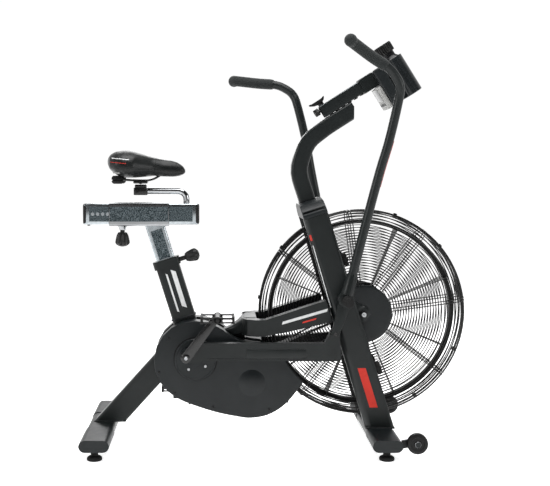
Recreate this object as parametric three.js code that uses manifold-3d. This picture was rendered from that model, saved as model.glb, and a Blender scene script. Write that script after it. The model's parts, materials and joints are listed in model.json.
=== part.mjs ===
// Air bike: a gym bike whose crank and two swinging handles drive a caged fan wheel.
// Millimetres, +Z up, +X forward, -Y is the rider's right. The drawing frame has X = 0 on the crank
// axis and the floor at Z = 0; the group is then shifted so that X = 0 is the middle of the bike.
import * as THREE from "three";
import { mergeVertices } from "three/addons/utils/BufferGeometryUtils.js";
import Module from "manifold-3d";

const wasm = await Module();
wasm.setup();

// ---- driving dimensions ----
const GAP = 0.3; // left between pieces that touch
const MIDDLE_X = 267.5; // middle of the bike's length, from the crank axis
const CRANK = { x: 0, z: 295 };
const FAN = { x: 566, z: 448 };
const PIVOT = { x: 496, z: 508.5 }; // handle pivot
const JACK = { x: 191, z: 213 }; // jackshaft between the two belts

const SEAT_LEAN = 17.3; // degrees, seat mast leans back
const COLUMN_LEAN = 17.5; // degrees, front columns lean back
const BOOM_RISE = 32.5; // degrees, console boom above level

const STAB = { length: 560, deep: 94, tall: 35, z: 50, rearX: -322.4, frontX: 620 };
const SLEEVE = { wall: 2, rearInner: 100, frontInner: 123, end: 8 };
const FOOT = { r: 25, y: 255, rim: 9, neck: 12 };
const WHEEL = { x: 715, z: 58, r: 33.5, wide: 24, y: 270, boreR: 5.2, axleR: 5 };

const SHELL_R = 33; // bottom bracket shell
const SPINE_RISE = 25.5; // degrees, spine from the shell up to the yoke
const LEG = { deep: 80, wide: 50, wall: 2.5 };
const MAST = { deep: 80, wide: 50, wall: 2.5, top: 322 };
const POST = { deep: 64, wide: 38, wall: 2.5, low: 110 };
const COLUMN = { deep: 92, wide: 40, wall: 2.5, y: 98, chamfer: 15, top: 745 };
const HOUSING = { inner: 27, outer: 76, wall: 3, r: 138 };

const DISC = { r: 71, inner: 78.3, outer: 90 };
const PIN = { r: 35.5, angle: 146.7 }; // eccentric pin: throw, and the right pin's angle
const ARM = { length: 174, angle: 53.3, inner: 150, thick: 18 };
const LINK = { inner: 121, thick: 25, low: 301, high: 361, rearX: 16, frontX: 484 };
// Lever below the pivot, its angle in degrees rearward of straight down.
const LEVER = { length: 119, angle: 16.3, thick: 12 };
const HANDLE_SWING = 25.4; // degrees between the two handles
const HANDLE = { y: 165, tubeR: 15, hubR: 27, boreR: 14.4, half: 16 };
const GRIP = { r: 18.5, ballR: 21 };
// Centre line of the right handle, from the pivot, as (x, distance outward, z).
const HANDLE_LINE = [
  [12, 165, 50],
  [20, 165, 84],
  [96, 175, 392],
  [131, 185, 521],
  [157, 194, 645],
  [160, 203, 688],
  [147, 207, 718],
  [120, 212, 748],
  [66, 226, 781],
  [2, 250, 823],
];
const GRIP_FROM = 0.845; // share of the centre line where the grip starts
const PEDAL = { long: 110, wide: 90, tall: 25, inner: 172 };

const PULLEY = { crank: 90, jackSmall: 36, jackBig: 48, fan: 20, wide: 12, rightY: -54, leftY: 60 };
const BELT = { thick: 4, clear: 1.2 };
const GUARD = { r: 352, hubR: 98, faceR: 298, face: 72, seam: 1.5, wire: 4.4, spokes: 8 };
const BLADES = { count: 8, rimR: 316, rimWide: 36, rimThick: 3, hubR: 46, hubHalf: 16, wide: 44, thick: 2 };
const AXLE = { r: 8, end: 92 };

const SLIDER = { z: 783, rearX: -383, frontX: 12, tall: 71, wide: 60 };
const SLIDE_SLEEVE = { rearX: -294, frontX: -90, tall: 81, wide: 70 };
const STEM = { r: 11, z: 861, rearX: -196, footX: -32 };
const SADDLE = { rearX: -302, noseX: -28, wide: 215 };
const BOOM = { deep: 42, wide: 44, rear: [428, 1127], length: 206 };
const CONSOLE = { thick: 38, wide: 130, low: -114, high: 62 };
const BOTTLE = { r: 40, long: 138, wall: 2.5, x: 289, low: -112 };
const PEG = { r: 15.5, end: 255 };

// ---- materials ----
const finish = (color, roughness, metalness) =>
  new THREE.MeshStandardMaterial({ color, roughness, metalness });
const paint = () => finish(0x1d2021, 0.45, 0.3);
const plastic = () => finish(0x181a1a, 0.55, 0);
const chrome = () => finish(0xc9cdd0, 0.15, 1);
const zinc = () => finish(0x8d9498, 0.35, 1);
const steel = () => finish(0x9a9c9e, 0.3, 1);
const rubber = () => finish(0x121313, 0.8, 0);
const vinyl = () => finish(0x151515, 0.5, 0);

// ---- vectors and small geometry tools ----
const rad = THREE.MathUtils.degToRad;
const sides = { right: -1, left: 1 };
const polar = (c, r, degrees) => ({
  x: c.x + r * Math.cos(rad(degrees)),
  z: c.z + r * Math.sin(rad(degrees)),
});
// Points on the leaning axes: s runs up from the crank axis, or from the front stabilizer.
const onMast = (s) => polar(CRANK, s, 90 + SEAT_LEAN);
const columnFoot = { x: STAB.frontX, z: STAB.z + STAB.tall / 2 };
const onColumn = (s) => polar(columnFoot, s, 90 + COLUMN_LEAN);

// Low and high Y of something that reaches from |Y| = near to far on one side.
const outward = (side, near, far) => (side > 0 ? [near, far] : [-far, -near]);

const bike = new THREE.Group();
bike.position.x = -MIDDLE_X;

function add(name, geometry, material, x = 0, y = 0, z = 0) {
  const mesh = new THREE.Mesh(geometry, material);
  mesh.name = name;
  mesh.position.set(x, y, z);
  bike.add(mesh);
  return mesh;
}

function toSolid(geometry) {
  const bare = geometry.clone();
  bare.deleteAttribute("normal");
  bare.deleteAttribute("uv");
  const merged = mergeVertices(bare, 1e-4);
  return new wasm.Manifold(
    new wasm.Mesh({
      numProp: 3,
      vertProperties: merged.attributes.position.array,
      triVerts: new Uint32Array(merged.index.array),
    }),
  );
}

function fromSolid(solid) {
  const { vertProperties, triVerts } = solid.getMesh();
  const geometry = new THREE.BufferGeometry();
  geometry.setAttribute("position", new THREE.BufferAttribute(vertProperties, 3));
  geometry.setIndex(new THREE.BufferAttribute(triVerts, 1));
  return geometry;
}

const join = (...parts) => fromSolid(parts.map(toSolid).reduce((a, b) => a.add(b)));
const cut = (body, ...tools) =>
  fromSolid(tools.map(toSolid).reduce((a, b) => a.subtract(b), toSolid(body)));

function roundRect(wide, tall, r, steps = 2) {
  const shape = new THREE.Shape();
  const corners = [
    [wide / 2 - r, tall / 2 - r, 0],
    [r - wide / 2, tall / 2 - r, 90],
    [r - wide / 2, r - tall / 2, 180],
    [wide / 2 - r, r - tall / 2, 270],
  ];
  const points = corners.flatMap(([x, y, start]) =>
    Array.from({ length: steps + 1 }, (_, i) => {
      const a = rad(start + (90 * i) / steps);
      return new THREE.Vector2(x + r * Math.cos(a), y + r * Math.sin(a));
    }),
  );
  shape.setFromPoints(points);
  return shape;
}

function circle(r, count, x = 0, y = 0) {
  const points = Array.from({ length: count }, (_, i) => {
    const a = (2 * Math.PI * i) / count;
    return new THREE.Vector2(x + r * Math.cos(a), y + r * Math.sin(a));
  });
  return new THREE.Shape(points);
}

function holed(outer, ...inner) {
  outer.holes.push(...inner);
  return outer;
}

const extrude = (shape, depth, curveSegments = 6) =>
  new THREE.ExtrudeGeometry(shape, { depth, bevelEnabled: false, curveSegments });

// An outline drawn as (x, z), made into a plate centred on Y = 0.
const plate = (shape, thick, curveSegments) =>
  extrude(shape, thick, curveSegments)
    .rotateX(Math.PI / 2)
    .translate(0, thick / 2, 0);

// A straight bar along +Z, section x by y, turned to lean back by degrees.
const leaning = (shape, length, degrees) => extrude(shape, length).rotateY(-rad(degrees));

const block = (x0, x1, y0, y1, z0, z1) =>
  new THREE.BoxGeometry(x1 - x0, y1 - y0, z1 - z0).translate(
    (x0 + x1) / 2,
    (y0 + y1) / 2,
    (z0 + z1) / 2,
  );

// A closed outline, always anticlockwise, which extruding a shape with holes relies on.
function outline(pairs) {
  const points = pairs.map(([x, z]) => new THREE.Vector2(x, z));
  return new THREE.Shape(THREE.ShapeUtils.isClockWise(points) ? points.reverse() : points);
}

// Turned about the Y axis from (radius, y) pairs that start and end on the axis.
const turned = (pairs, count = 24) =>
  new THREE.LatheGeometry(
    pairs.map(([r, y]) => new THREE.Vector2(r, y)),
    count,
  );
const drum = (r, y0, y1, count = 24) =>
  turned([[0, y0], [r, y0], [r, y1], [0, y1]], count);
const ring = (rOut, rIn, y0, y1, count = 24) =>
  turned([[rIn, y0], [rOut, y0], [rOut, y1], [rIn, y1], [rIn, y0]], count);

const tube = (points, shape, steps, tension = 0.5) =>
  new THREE.ExtrudeGeometry(shape, {
    extrudePath: new THREE.CatmullRomCurve3(points, false, "catmullrom", tension),
    steps,
    bevelEnabled: false,
  });

// ---- base: stabilizers, end sleeves, feet, transport wheels ----
function flatOval(deep, tall) {
  return roundRect(deep, tall, tall / 2 - 0.05, 4);
}

function stabilizer() {
  const section = holed(flatOval(STAB.deep, STAB.tall), flatOval(STAB.deep - 5, STAB.tall - 5));
  return plate(section, STAB.length - 2 * SLEEVE.end - 2 * GAP);
}

// A blind sleeve over one end of a stabilizer, from |Y| = inner to the tip.
function endSleeve(side, inner) {
  const half = STAB.length / 2;
  const deep = STAB.deep + 2 * GAP;
  const tall = STAB.tall + 2 * GAP;
  const outer = plate(flatOval(deep + 2 * SLEEVE.wall, tall + 2 * SLEEVE.wall), half - inner);
  const hollow = plate(flatOval(deep, tall), half - inner);
  outer.translate(0, (side * (half + inner)) / 2, 0);
  hollow.translate(0, (side * (half + inner)) / 2 - side * SLEEVE.end, 0);
  return cut(outer, hollow);
}

function wheelTongue(side) {
  const reach = WHEEL.x - STAB.frontX;
  const rise = WHEEL.z - STAB.z;
  const near = WHEEL.y - WHEEL.wide / 2 - 2;
  const shape = outline([
    [STAB.deep / 2 + 0.8, 13],
    [STAB.deep / 2 + 0.8, -13],
    [reach, rise - 13],
    [reach + 10, rise - 9],
    [reach + 13, rise],
    [reach + 10, rise + 9],
    [reach, rise + 13],
  ]);
  return plate(shape, 10).translate(0, side * (near - 5), 0);
}

function wheelAxle(side) {
  const inner = WHEEL.y - WHEEL.wide / 2 - 4;
  const outer = WHEEL.y + WHEEL.wide / 2 + 1;
  const [y0, y1] = side > 0 ? [inner, outer] : [-outer, -inner];
  const [h0, h1] = side > 0 ? [outer - 0.5, outer + 4] : [-outer - 4, 0.5 - outer];
  return join(drum(WHEEL.axleR, y0, y1, 16), drum(9, h0, h1, 16)).translate(
    WHEEL.x - STAB.frontX,
    0,
    WHEEL.z - STAB.z,
  );
}

function foot() {
  const top = STAB.z - STAB.tall / 2 - SLEEVE.wall - 2 * GAP;
  return turned([
    [0, 0],
    [FOOT.r - 3, 0],
    [FOOT.r, 3],
    [FOOT.r, FOOT.rim],
    [FOOT.r - 4, FOOT.rim + 5],
    [FOOT.neck, FOOT.rim + 7],
    [FOOT.neck, top],
    [0, top],
  ], 12).rotateX(Math.PI / 2);
}

function base() {
  add("rear_stabilizer", stabilizer(), paint(), STAB.rearX, 0, STAB.z);
  add("front_stabilizer", stabilizer(), paint(), STAB.frontX, 0, STAB.z);
  for (const [name, side] of Object.entries(sides)) {
    const y = side * FOOT.y;
    add("rear_end_sleeve_" + name, endSleeve(side, SLEEVE.rearInner), plastic(), STAB.rearX, 0, STAB.z);
    const front = join(endSleeve(side, SLEEVE.frontInner), wheelTongue(side), wheelAxle(side));
    add("front_end_sleeve_" + name, front, plastic(), STAB.frontX, 0, STAB.z);
    add("rear_foot_" + name, foot(), rubber(), STAB.rearX, y, 0);
    add("front_foot_" + name, foot(), rubber(), STAB.frontX, y, 0);
    const half = WHEEL.wide / 2;
    const tyre = turned([
      [WHEEL.boreR, -half],
      [WHEEL.r - 3, -half],
      [WHEEL.r, 3 - half],
      [WHEEL.r, half - 3],
      [WHEEL.r - 3, half],
      [WHEEL.boreR, half],
      [WHEEL.boreR, -half],
    ]);
    add("transport_wheel_" + name, tyre, rubber(), WHEEL.x, side * WHEEL.y, WHEEL.z);
  }
}

// ---- frame: rear leg, seat mast, spine, yoke, fork arms, columns ----
function boxTube(deep, wide, wall, r = 8) {
  return holed(roundRect(deep, wide, r), roundRect(deep - 2 * wall, wide - 2 * wall, r - wall));
}

// The leg runs from the mast's rear face down to the stabilizer, mitred at both ends.
function rearLeg() {
  const [x1, z1] = [-20, 374];
  const x0 = STAB.rearX + 10;
  const run = Math.hypot(x1 - x0, z1 - STAB.z);
  const lean = THREE.MathUtils.radToDeg(Math.atan2(x1 - x0, z1 - STAB.z));
  const bar = leaning(boxTube(LEG.deep, LEG.wide, LEG.wall), run + 120, -lean);
  bar.translate(x0 - 60 * Math.sin(rad(lean)), 0, STAB.z - 60 * Math.cos(rad(lean)));
  const ground = block(x0 - 200, x0 + 200, -60, 60, -200, STAB.z + STAB.tall / 2 + GAP);
  const mastFace = block(-MAST.deep / 2 - GAP, 400, -60, 60, -300, 700)
    .rotateY(-rad(SEAT_LEAN))
    .translate(CRANK.x, 0, CRANK.z);
  return cut(bar, ground, mastFace);
}

function frame() {
  const mastLow = onMast(SHELL_R + GAP);
  add("seat_mast", seatMast(), paint(), mastLow.x, 0, mastLow.z);
  add("rear_leg", rearLeg(), paint());
  add("fork_frame", forkFrame(), paint());
  for (const [name, side] of Object.entries(sides)) {
    add("front_column_" + name, join(column(side), axleBracket(side)), paint());
  }
}

// The mast tube with the thicker guide collar that is welded round its top.
function seatMast() {
  const long = MAST.top - SHELL_R;
  const collar = holed(roundRect(92, 60, 12), roundRect(POST.deep + 1, POST.wide + 1, 6));
  const lean = rad(SEAT_LEAN);
  const start = long - 1;
  const high = leaning(collar, 28, SEAT_LEAN);
  high.translate(-start * Math.sin(lean), 0, start * Math.cos(lean));
  return join(leaning(boxTube(MAST.deep, MAST.wide, MAST.wall), long, SEAT_LEAN), high);
}

// Bottom bracket shell, spine, yoke and the two fork arms, welded into one piece.
function forkFrame() {
  const shell = ring(SHELL_R, 13, -25, 25).translate(CRANK.x, 0, CRANK.z);
  const spine = leaning(boxTube(60, 50, 2.5), 150, SPINE_RISE - 90).translate(22, 0, 320);
  const shellRoom = drum(SHELL_R - 3, -30, 30).translate(CRANK.x, 0, CRANK.z);
  const mastRoom = block(-MAST.deep, MAST.deep / 2 + GAP, -60, 60, SHELL_R - 5, 500)
    .rotateY(-rad(SEAT_LEAN))
    .translate(CRANK.x, 0, CRANK.z);
  const arms = Object.values(sides).map((side) => forkArm().translate(0, side * COLUMN.y, 0));
  return join(cut(spine, shellRoom, mastRoom), shell, yoke(), ...arms);
}

// Seen from above: a cross bar with its two ends turned forward.
function yoke() {
  const [back, mid, tip] = [158, 206, 236];
  const arm = COLUMN.y - COLUMN.wide / 2;
  const far = COLUMN.y + COLUMN.wide / 2;
  const shape = outline([
    [back, -far + 44],
    [back + 16, -far + 14],
    [back + 46, -far],
    [tip, -far],
    [tip, -arm],
    [mid + 8, -arm],
    [mid, -arm + 8],
    [mid, arm - 8],
    [mid + 8, arm],
    [tip, arm],
    [tip, far],
    [back + 46, far],
    [back + 16, far - 14],
    [back, far - 44],
  ]);
  const bar = extrude(shape, 56).translate(0, 0, 378);
  const hollow = block(back + 4, mid - 4, -far + 46, far - 46, 382, 500);
  return cut(bar, hollow);
}

function forkArm() {
  const rearFace = (z) => onColumn((z - columnFoot.z) / Math.cos(rad(COLUMN_LEAN))).x - 48.8;
  const shape = outline([
    [234, 380],
    [300, 392],
    [rearFace(428), 428],
    [rearFace(500), 500],
    [234, 434],
  ]);
  const inner = outline([
    [230, 382],
    [300, 396],
    [rearFace(433) + 4, 434],
    [rearFace(495) + 4, 496],
    [230, 428],
  ]);
  return cut(plate(shape, COLUMN.wide), plate(inner, COLUMN.wide - 5));
}

// A box tube with its outer rear corner planed off.
function column(side) {
  const { deep, wide, wall, chamfer } = COLUMN;
  const [x, y] = [deep / 2, (side * wide) / 2];
  const section = outline([
    [x, -y],
    [x, y - side * 5],
    [x - 5, y],
    [chamfer - x, y],
    [-x, y - side * chamfer],
    [-x, -y],
  ]);
  section.holes.push(outline([
    [x - wall, side * wall - y],
    [x - wall, y - side * 6.5],
    [x - 6.5, y - side * wall],
    [chamfer + 1 - x, y - side * wall],
    [wall - x, y - side * (chamfer + 1)],
    [wall - x, side * wall - y],
  ]));
  const foot = onColumn(-40);
  const bar = leaning(section, COLUMN.top + 40, COLUMN_LEAN).translate(foot.x, side * COLUMN.y, foot.z);
  const top = STAB.z + STAB.tall / 2 + GAP;
  return cut(bar, block(foot.x - 200, foot.x + 200, -200, 200, -200, top));
}

// A flat dropout plate on a column's inner face, which carries the fan axle.
function axleBracket(side) {
  const shape = outline([
    [FAN.x - 84, FAN.z + 42],
    [FAN.x - 84, FAN.z - 2],
    [FAN.x - 50, FAN.z - 40],
    [FAN.x + 8, FAN.z - 22],
    [FAN.x + 24, FAN.z],
    [FAN.x + 14, FAN.z + 22],
    [FAN.x - 40, FAN.z + 46],
  ]);
  const y = side * (COLUMN.y - COLUMN.wide / 2 - 1.7);
  return plate(holed(shape, circle(AXLE.r + GAP, 16, FAN.x, FAN.z)), 4.4).translate(0, y, 0);
}

// ---- column head and console mast ----
function columnHead() {
  const far = COLUMN.y + COLUMN.wide / 2;
  const [low, high] = [0, 52];
  const half = COLUMN.deep / 2;
  const front = outline([
    [far, low],
    [far, low + 12],
    [far - 10, low + 26],
    [far - 34, high - 8],
    [48, high],
    [-48, high],
    [34 - far, high - 8],
    [10 - far, low + 26],
    [-far, low + 12],
    [-far, low],
  ]);
  const shell = extrude(front, COLUMN.deep).rotateX(Math.PI / 2).rotateZ(Math.PI / 2);
  shell.translate(-half, 0, 0);
  const hollow = block(4 - half, half - 4, 5 - far, far - 5, -10, 22);
  const socket = block(-30.5, 30.5, -27, 27, 10, 80);
  return cut(shell, hollow, socket).rotateY(-rad(COLUMN_LEAN));
}

function mastPath() {
  const d = { x: Math.cos(rad(BOOM_RISE)), z: Math.sin(rad(BOOM_RISE)) };
  const top = { x: 455, z: 1084.5 };
  const base = onColumn(COLUMN.top + 22);
  const points = [
    [base.x, base.z],
    [base.x - 15, base.z + 47],
    [352, 925],
    [365, 988],
    [386, 1030],
    [top.x - 28, top.z - 20],
    [top.x, top.z],
    [top.x + 100 * d.x, top.z + 100 * d.z],
  ];
  return points.map(([x, z]) => new THREE.Vector3(x, 0, z));
}

function consoleMast() {
  const section = holed(roundRect(50, 56, 9), roundRect(45, 51, 6, 1));
  const bent = tube(mastPath(), section, 20);
  return cut(bent, block(535, 700, -60, 60, 900, 1300));
}

function columnTop() {
  const seat = onColumn(COLUMN.top + GAP);
  add("column_head", columnHead(), plastic(), seat.x, 0, seat.z);
  add("console_mast", consoleMast(), paint());
}

// ---- drive: housing, crank, belts, fan ----
function housingOutline(inset) {
  const shape = new THREE.Shape();
  const r = HOUSING.r - inset;
  const fanR = 306 + inset;
  const tip = polar(FAN, fanR, 229);
  shape.moveTo(CRANK.x - 3, CRANK.z - 8 + r);
  shape.absarc(CRANK.x - 3, CRANK.z - 8, r, Math.PI / 2, rad(228), false);
  const lobe = [[-46, 152], [60, 115], [150, 96], [193, 93], [245, 103], [292, 130], [328, 166]];
  shape.splineThru([
    ...lobe.map(([x, z]) => new THREE.Vector2(x - inset * 0.1, z + inset)),
    new THREE.Vector2(tip.x - inset, tip.z),
  ]);
  shape.absarc(FAN.x, FAN.z, fanR, rad(228.5), rad(209), true);
  shape.lineTo(222 - inset, 346 - inset);
  shape.quadraticCurveTo(150, 352 - inset, 118, 374 - inset);
  shape.quadraticCurveTo(66, 423 - inset, CRANK.x - 3, CRANK.z - 8 + r);
  return shape;
}

function housingShell(side) {
  const { inner, outer, wall } = HOUSING;
  const deep = outer - inner;
  const y = (side * (outer + inner)) / 2;
  const skin = plate(housingOutline(0), deep, 4).translate(0, y, 0);
  const room = plate(housingOutline(wall), deep, 4).translate(0, y - side * wall, 0);
  const hole = drum(18, -100, 100, 20).translate(CRANK.x, 0, CRANK.z);
  const cageRoom = drum(GUARD.r + 4, -GUARD.face - 1, GUARD.face + 1, 48).translate(FAN.x, 0, FAN.z);
  return cut(skin, room, hole, cageRoom);
}

function pulley(r, y, boreR) {
  const half = PULLEY.wide / 2;
  return ring(r, boreR, y - half, y + half, r > 60 ? 32 : 20);
}

function jackshaft() {
  const { jackSmall, jackBig, wide, rightY, leftY } = PULLEY;
  const h = wide / 2;
  return turned([
    [0, rightY - h - 4],
    [10, rightY - h - 4],
    [10, rightY - h],
    [jackSmall, rightY - h],
    [jackSmall, rightY + h],
    [10, rightY + h],
    [10, leftY - h],
    [jackBig, leftY - h],
    [jackBig, leftY + h],
    [0, leftY + h],
  ], 24);
}

// A flat belt round two pulleys: two outlines of tangent lines and arcs.
function belt(a, ra, b, rb, wide, y) {
  const between = Math.atan2(b.z - a.z, b.x - a.x);
  const lean = Math.acos((ra - rb) / Math.hypot(b.x - a.x, b.z - a.z));
  const loop = (grow) => {
    const shape = new THREE.Shape();
    shape.absarc(a.x, a.z, ra + grow, between + lean, between - lean + 2 * Math.PI, false);
    shape.absarc(b.x, b.z, rb + grow, between - lean, between + lean, false);
    return shape;
  };
  return plate(holed(loop(BELT.clear + BELT.thick), loop(BELT.clear)), wide, 12).translate(0, y, 0);
}

// Hub, drive boss and paddles. The rim round them is a piece of its own.
function fanWheel() {
  const { rimR, rimThick, hubR, hubHalf, wide, thick, count } = BLADES;
  const hub = ring(hubR, AXLE.r + GAP, -hubHalf, hubHalf, 24);
  const boss = ring(PULLEY.fan, AXLE.r + GAP, hubHalf - 1, PULLEY.leftY + PULLEY.wide / 2, 20);
  const reach = rimR - rimThick - 1.5;
  const blades = Array.from({ length: count }, (_, i) =>
    block(hubR - 6, reach, -wide, wide, -thick / 2, thick / 2)
      .rotateY(-(Math.PI / count) * (2 * i + 1)),
  );
  return join(hub, boss, ...blades);
}

// Rings and bars of one cage half, from (radius, y) pairs; the bars follow the profile.
function grille(side, rings, profile) {
  const { wire, spokes } = GUARD;
  const hoops = rings.map(([radius, y]) =>
    ring(radius, radius - wire, ...outward(side, y - wire, y), 24),
  );
  const bars = [];
  for (let i = 0; i < spokes; i += 1) {
    for (let k = 1; k < profile.length; k += 1) {
      const [[r0, y0], [r1, y1]] = [profile[k - 1], profile[k]];
      const length = Math.hypot(r1 - r0, y1 - y0);
      const bar = new THREE.BoxGeometry(length + wire * 0.8, wire * 0.9, wire * 1.4);
      bar.rotateZ(Math.atan2(side * (y1 - y0), r1 - r0));
      bar.translate((r0 + r1) / 2, (side * (y0 + y1)) / 2, 0);
      bars.push(bar.rotateY(-rad(8 + (360 / spokes) * i)));
    }
  }
  return [...hoops, ...bars];
}

// The flat side of the cage: a hub plate, two rings and the spokes.
function cageFace(side) {
  const { hubR, faceR, face, wire } = GUARD;
  const hub = ring(hubR, AXLE.r + 2, ...outward(side, face - 3, face), 24);
  const profile = [[hubR - 8, face - wire / 2], [faceR - wire, face - wire / 2]];
  return join(hub, ...grille(side, [[200, face], [faceR, face]], profile));
}

// The dished edge of the cage, from its flat side to the seam between the two halves.
function cageRim(side) {
  const { r, faceR, face, seam, wire } = GUARD;
  const inner = faceR + GAP + wire;
  const rim = r - wire / 2;
  const profile = [[inner - wire / 2, face - wire / 2], [rim, 30], [rim, seam + wire / 2]];
  return join(...grille(side, [[inner, face], [r, 34], [r, seam + wire]], profile));
}

// Where the second belt passes through the left half of the cage, about the fan axle.
function beltSlot() {
  const rise = Math.atan2(FAN.z - JACK.z, FAN.x - JACK.x);
  const y = PULLEY.leftY;
  return block(-GUARD.r - 10, -270, y - 12, y + 12, -52, 52).rotateY(-rise);
}

function drive() {
  for (const [name, side] of Object.entries(sides)) {
    add("housing_" + name, housingShell(side), plastic());
    const opened = (half) => (side < 0 ? half : cut(half, beltSlot()));
    add("cage_face_" + name, opened(cageFace(side)), paint(), FAN.x, 0, FAN.z);
    add("cage_rim_" + name, opened(cageRim(side)), paint(), FAN.x, 0, FAN.z);
    add("crank_disc_" + name, crankDisc(side), plastic(), CRANK.x, 0, CRANK.z);
  }
  const { rightY, leftY, wide, crank, jackSmall, jackBig, fan } = PULLEY;
  const spindle = drum(12, GAP - DISC.inner, DISC.inner - GAP);
  const keyed = join(spindle, pulley(crank, rightY, 11));
  add("crank_spindle", keyed, steel(), CRANK.x, 0, CRANK.z);
  add("jackshaft", jackshaft(), steel(), JACK.x, 0, JACK.z);
  add("first_belt", belt(CRANK, crank, JACK, jackSmall, wide, rightY), rubber());
  add("second_belt", belt(JACK, jackBig, FAN, fan, wide, leftY), rubber());
  const { rimR, rimWide, rimThick } = BLADES;
  const rim = ring(rimR, rimR - rimThick, -rimWide / 2, rimWide / 2, 40);
  add("fan_wheel", fanWheel(), paint(), FAN.x, 0, FAN.z);
  add("fan_rim", rim, paint(), FAN.x, 0, FAN.z);
  add("fan_axle", drum(AXLE.r, -AXLE.end, AXLE.end, 20), steel(), FAN.x, 0, FAN.z);
}

// ---- crank arms, pedals and link arms ----
// Offset of a side's eccentric pin from the crank axis; the two sides are half a turn apart.
const pinOffset = (side) => polar({ x: 0, z: 0 }, PIN.r, side < 0 ? PIN.angle : PIN.angle + 180);

function crankDisc(side) {
  const disc = drum(DISC.r, ...outward(side, DISC.inner, DISC.outer), 36);
  const shoulder = drum(20, ...outward(side, DISC.outer - 1, LINK.inner - GAP));
  const pin = drum(13, ...outward(side, DISC.outer - 1, ARM.inner - GAP));
  const { x, z } = pinOffset(side);
  return join(disc, shoulder.translate(x, 0, z), pin.translate(x, 0, z));
}

// A tapered arm from the eccentric pin to the pedal, with the pedal's axle in its end.
function crankArm(side) {
  const shape = new THREE.Shape();
  shape.absarc(0, 0, 17, rad(95), rad(265), false);
  shape.absarc(ARM.length, 0, 13, rad(-85), rad(85), false);
  const arm = plate(shape, ARM.thick, 6).translate(0, side * (ARM.inner + ARM.thick / 2), 0);
  const axle = drum(6, ...outward(side, ARM.inner + 2, PEDAL.inner + PEDAL.wide - 4), 16);
  const angle = side < 0 ? ARM.angle : ARM.angle + 180;
  const { x, z } = pinOffset(side);
  return join(arm, axle.translate(ARM.length, 0, 0)).rotateY(-rad(angle)).translate(x, 0, z);
}

function pedalCentre(side) {
  const pin = pinOffset(side);
  return polar(pin, ARM.length, side < 0 ? ARM.angle : ARM.angle + 180);
}

function pedal() {
  const { long, wide, tall } = PEDAL;
  const body = block(-long / 2, long / 2, -wide / 2, wide / 2, -tall / 2, tall / 2);
  const window = (sign) =>
    block(...(sign < 0 ? [9 - long / 2, -14] : [14, long / 2 - 9]), 12 - wide / 2, wide / 2 - 12, -20, 20);
  const bore = drum(6.3, -wide, wide, 16);
  return cut(body, window(-1), window(1), bore);
}

// Rest places of a side's pin eye and lever bolt.
const pinAt = (side) => ({ x: CRANK.x + pinOffset(side).x, z: CRANK.z + pinOffset(side).z });
const boltAt = (side) =>
  polar(PIVOT, LEVER.length, 270 - LEVER.angle + (side > 0 ? HANDLE_SWING : 0));

// The link arm, drawn about its rear eye as the right one lies, then turned for the left one.
function linkArm(side) {
  const { low, high, rearX, frontX, thick } = LINK;
  const eye = pinAt(-1);
  const bolt = { x: boltAt(-1).x - eye.x, z: boltAt(-1).z - eye.z };
  const [x0, x1, z0, z1] = [rearX - eye.x, frontX - eye.x, low - eye.z, high - eye.z];
  const shape = new THREE.Shape();
  shape.absarc(0, 0, 21, rad(70), rad(290), false);
  shape.lineTo(x0 + 8, z0);
  shape.lineTo(x1 - 12, z0);
  shape.quadraticCurveTo(x1, z0, x1, z0 + 12);
  shape.absarc(bolt.x, bolt.z, 16, rad(10), rad(170), false);
  shape.lineTo(bolt.x - 34, z1);
  shape.lineTo(x0 + 8, z1);
  const arm = plate(holed(shape, circle(13.4, 24)), thick, 6);
  const [y0, y1] = outward(-side, 3 - thick / 2, thick);
  const pocket = block(x0 + 14, x1 - 10, y0, y1, z0 + 4, z1 - 4);
  const here = Math.atan2(boltAt(side).z - pinAt(side).z, boltAt(side).x - pinAt(side).x);
  return cut(arm, pocket).rotateY(Math.atan2(bolt.z, bolt.x) - here);
}

function crankset() {
  for (const [name, side] of Object.entries(sides)) {
    const pin = pinAt(side);
    const pedalAt = pedalCentre(side);
    add("crank_arm_" + name, crankArm(side), steel(), CRANK.x, 0, CRANK.z);
    const y = side * (PEDAL.inner + PEDAL.wide / 2);
    add("pedal_" + name, pedal(), plastic(), CRANK.x + pedalAt.x, y, CRANK.z + pedalAt.z);
    add("link_arm_" + name, linkArm(side), paint(), pin.x, side * (LINK.inner + LINK.thick / 2), pin.z);
  }
}

// ---- swinging handles ----
const handleCurve = (side) =>
  new THREE.CatmullRomCurve3(HANDLE_LINE.map(([x, y, z]) => new THREE.Vector3(x, side * y, z)));

function alongCurve(curve, from, to, shape, steps) {
  const points = Array.from({ length: steps + 1 }, (_, i) =>
    curve.getPointAt(from + ((to - from) * i) / steps),
  );
  return tube(points, shape, steps);
}

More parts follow.
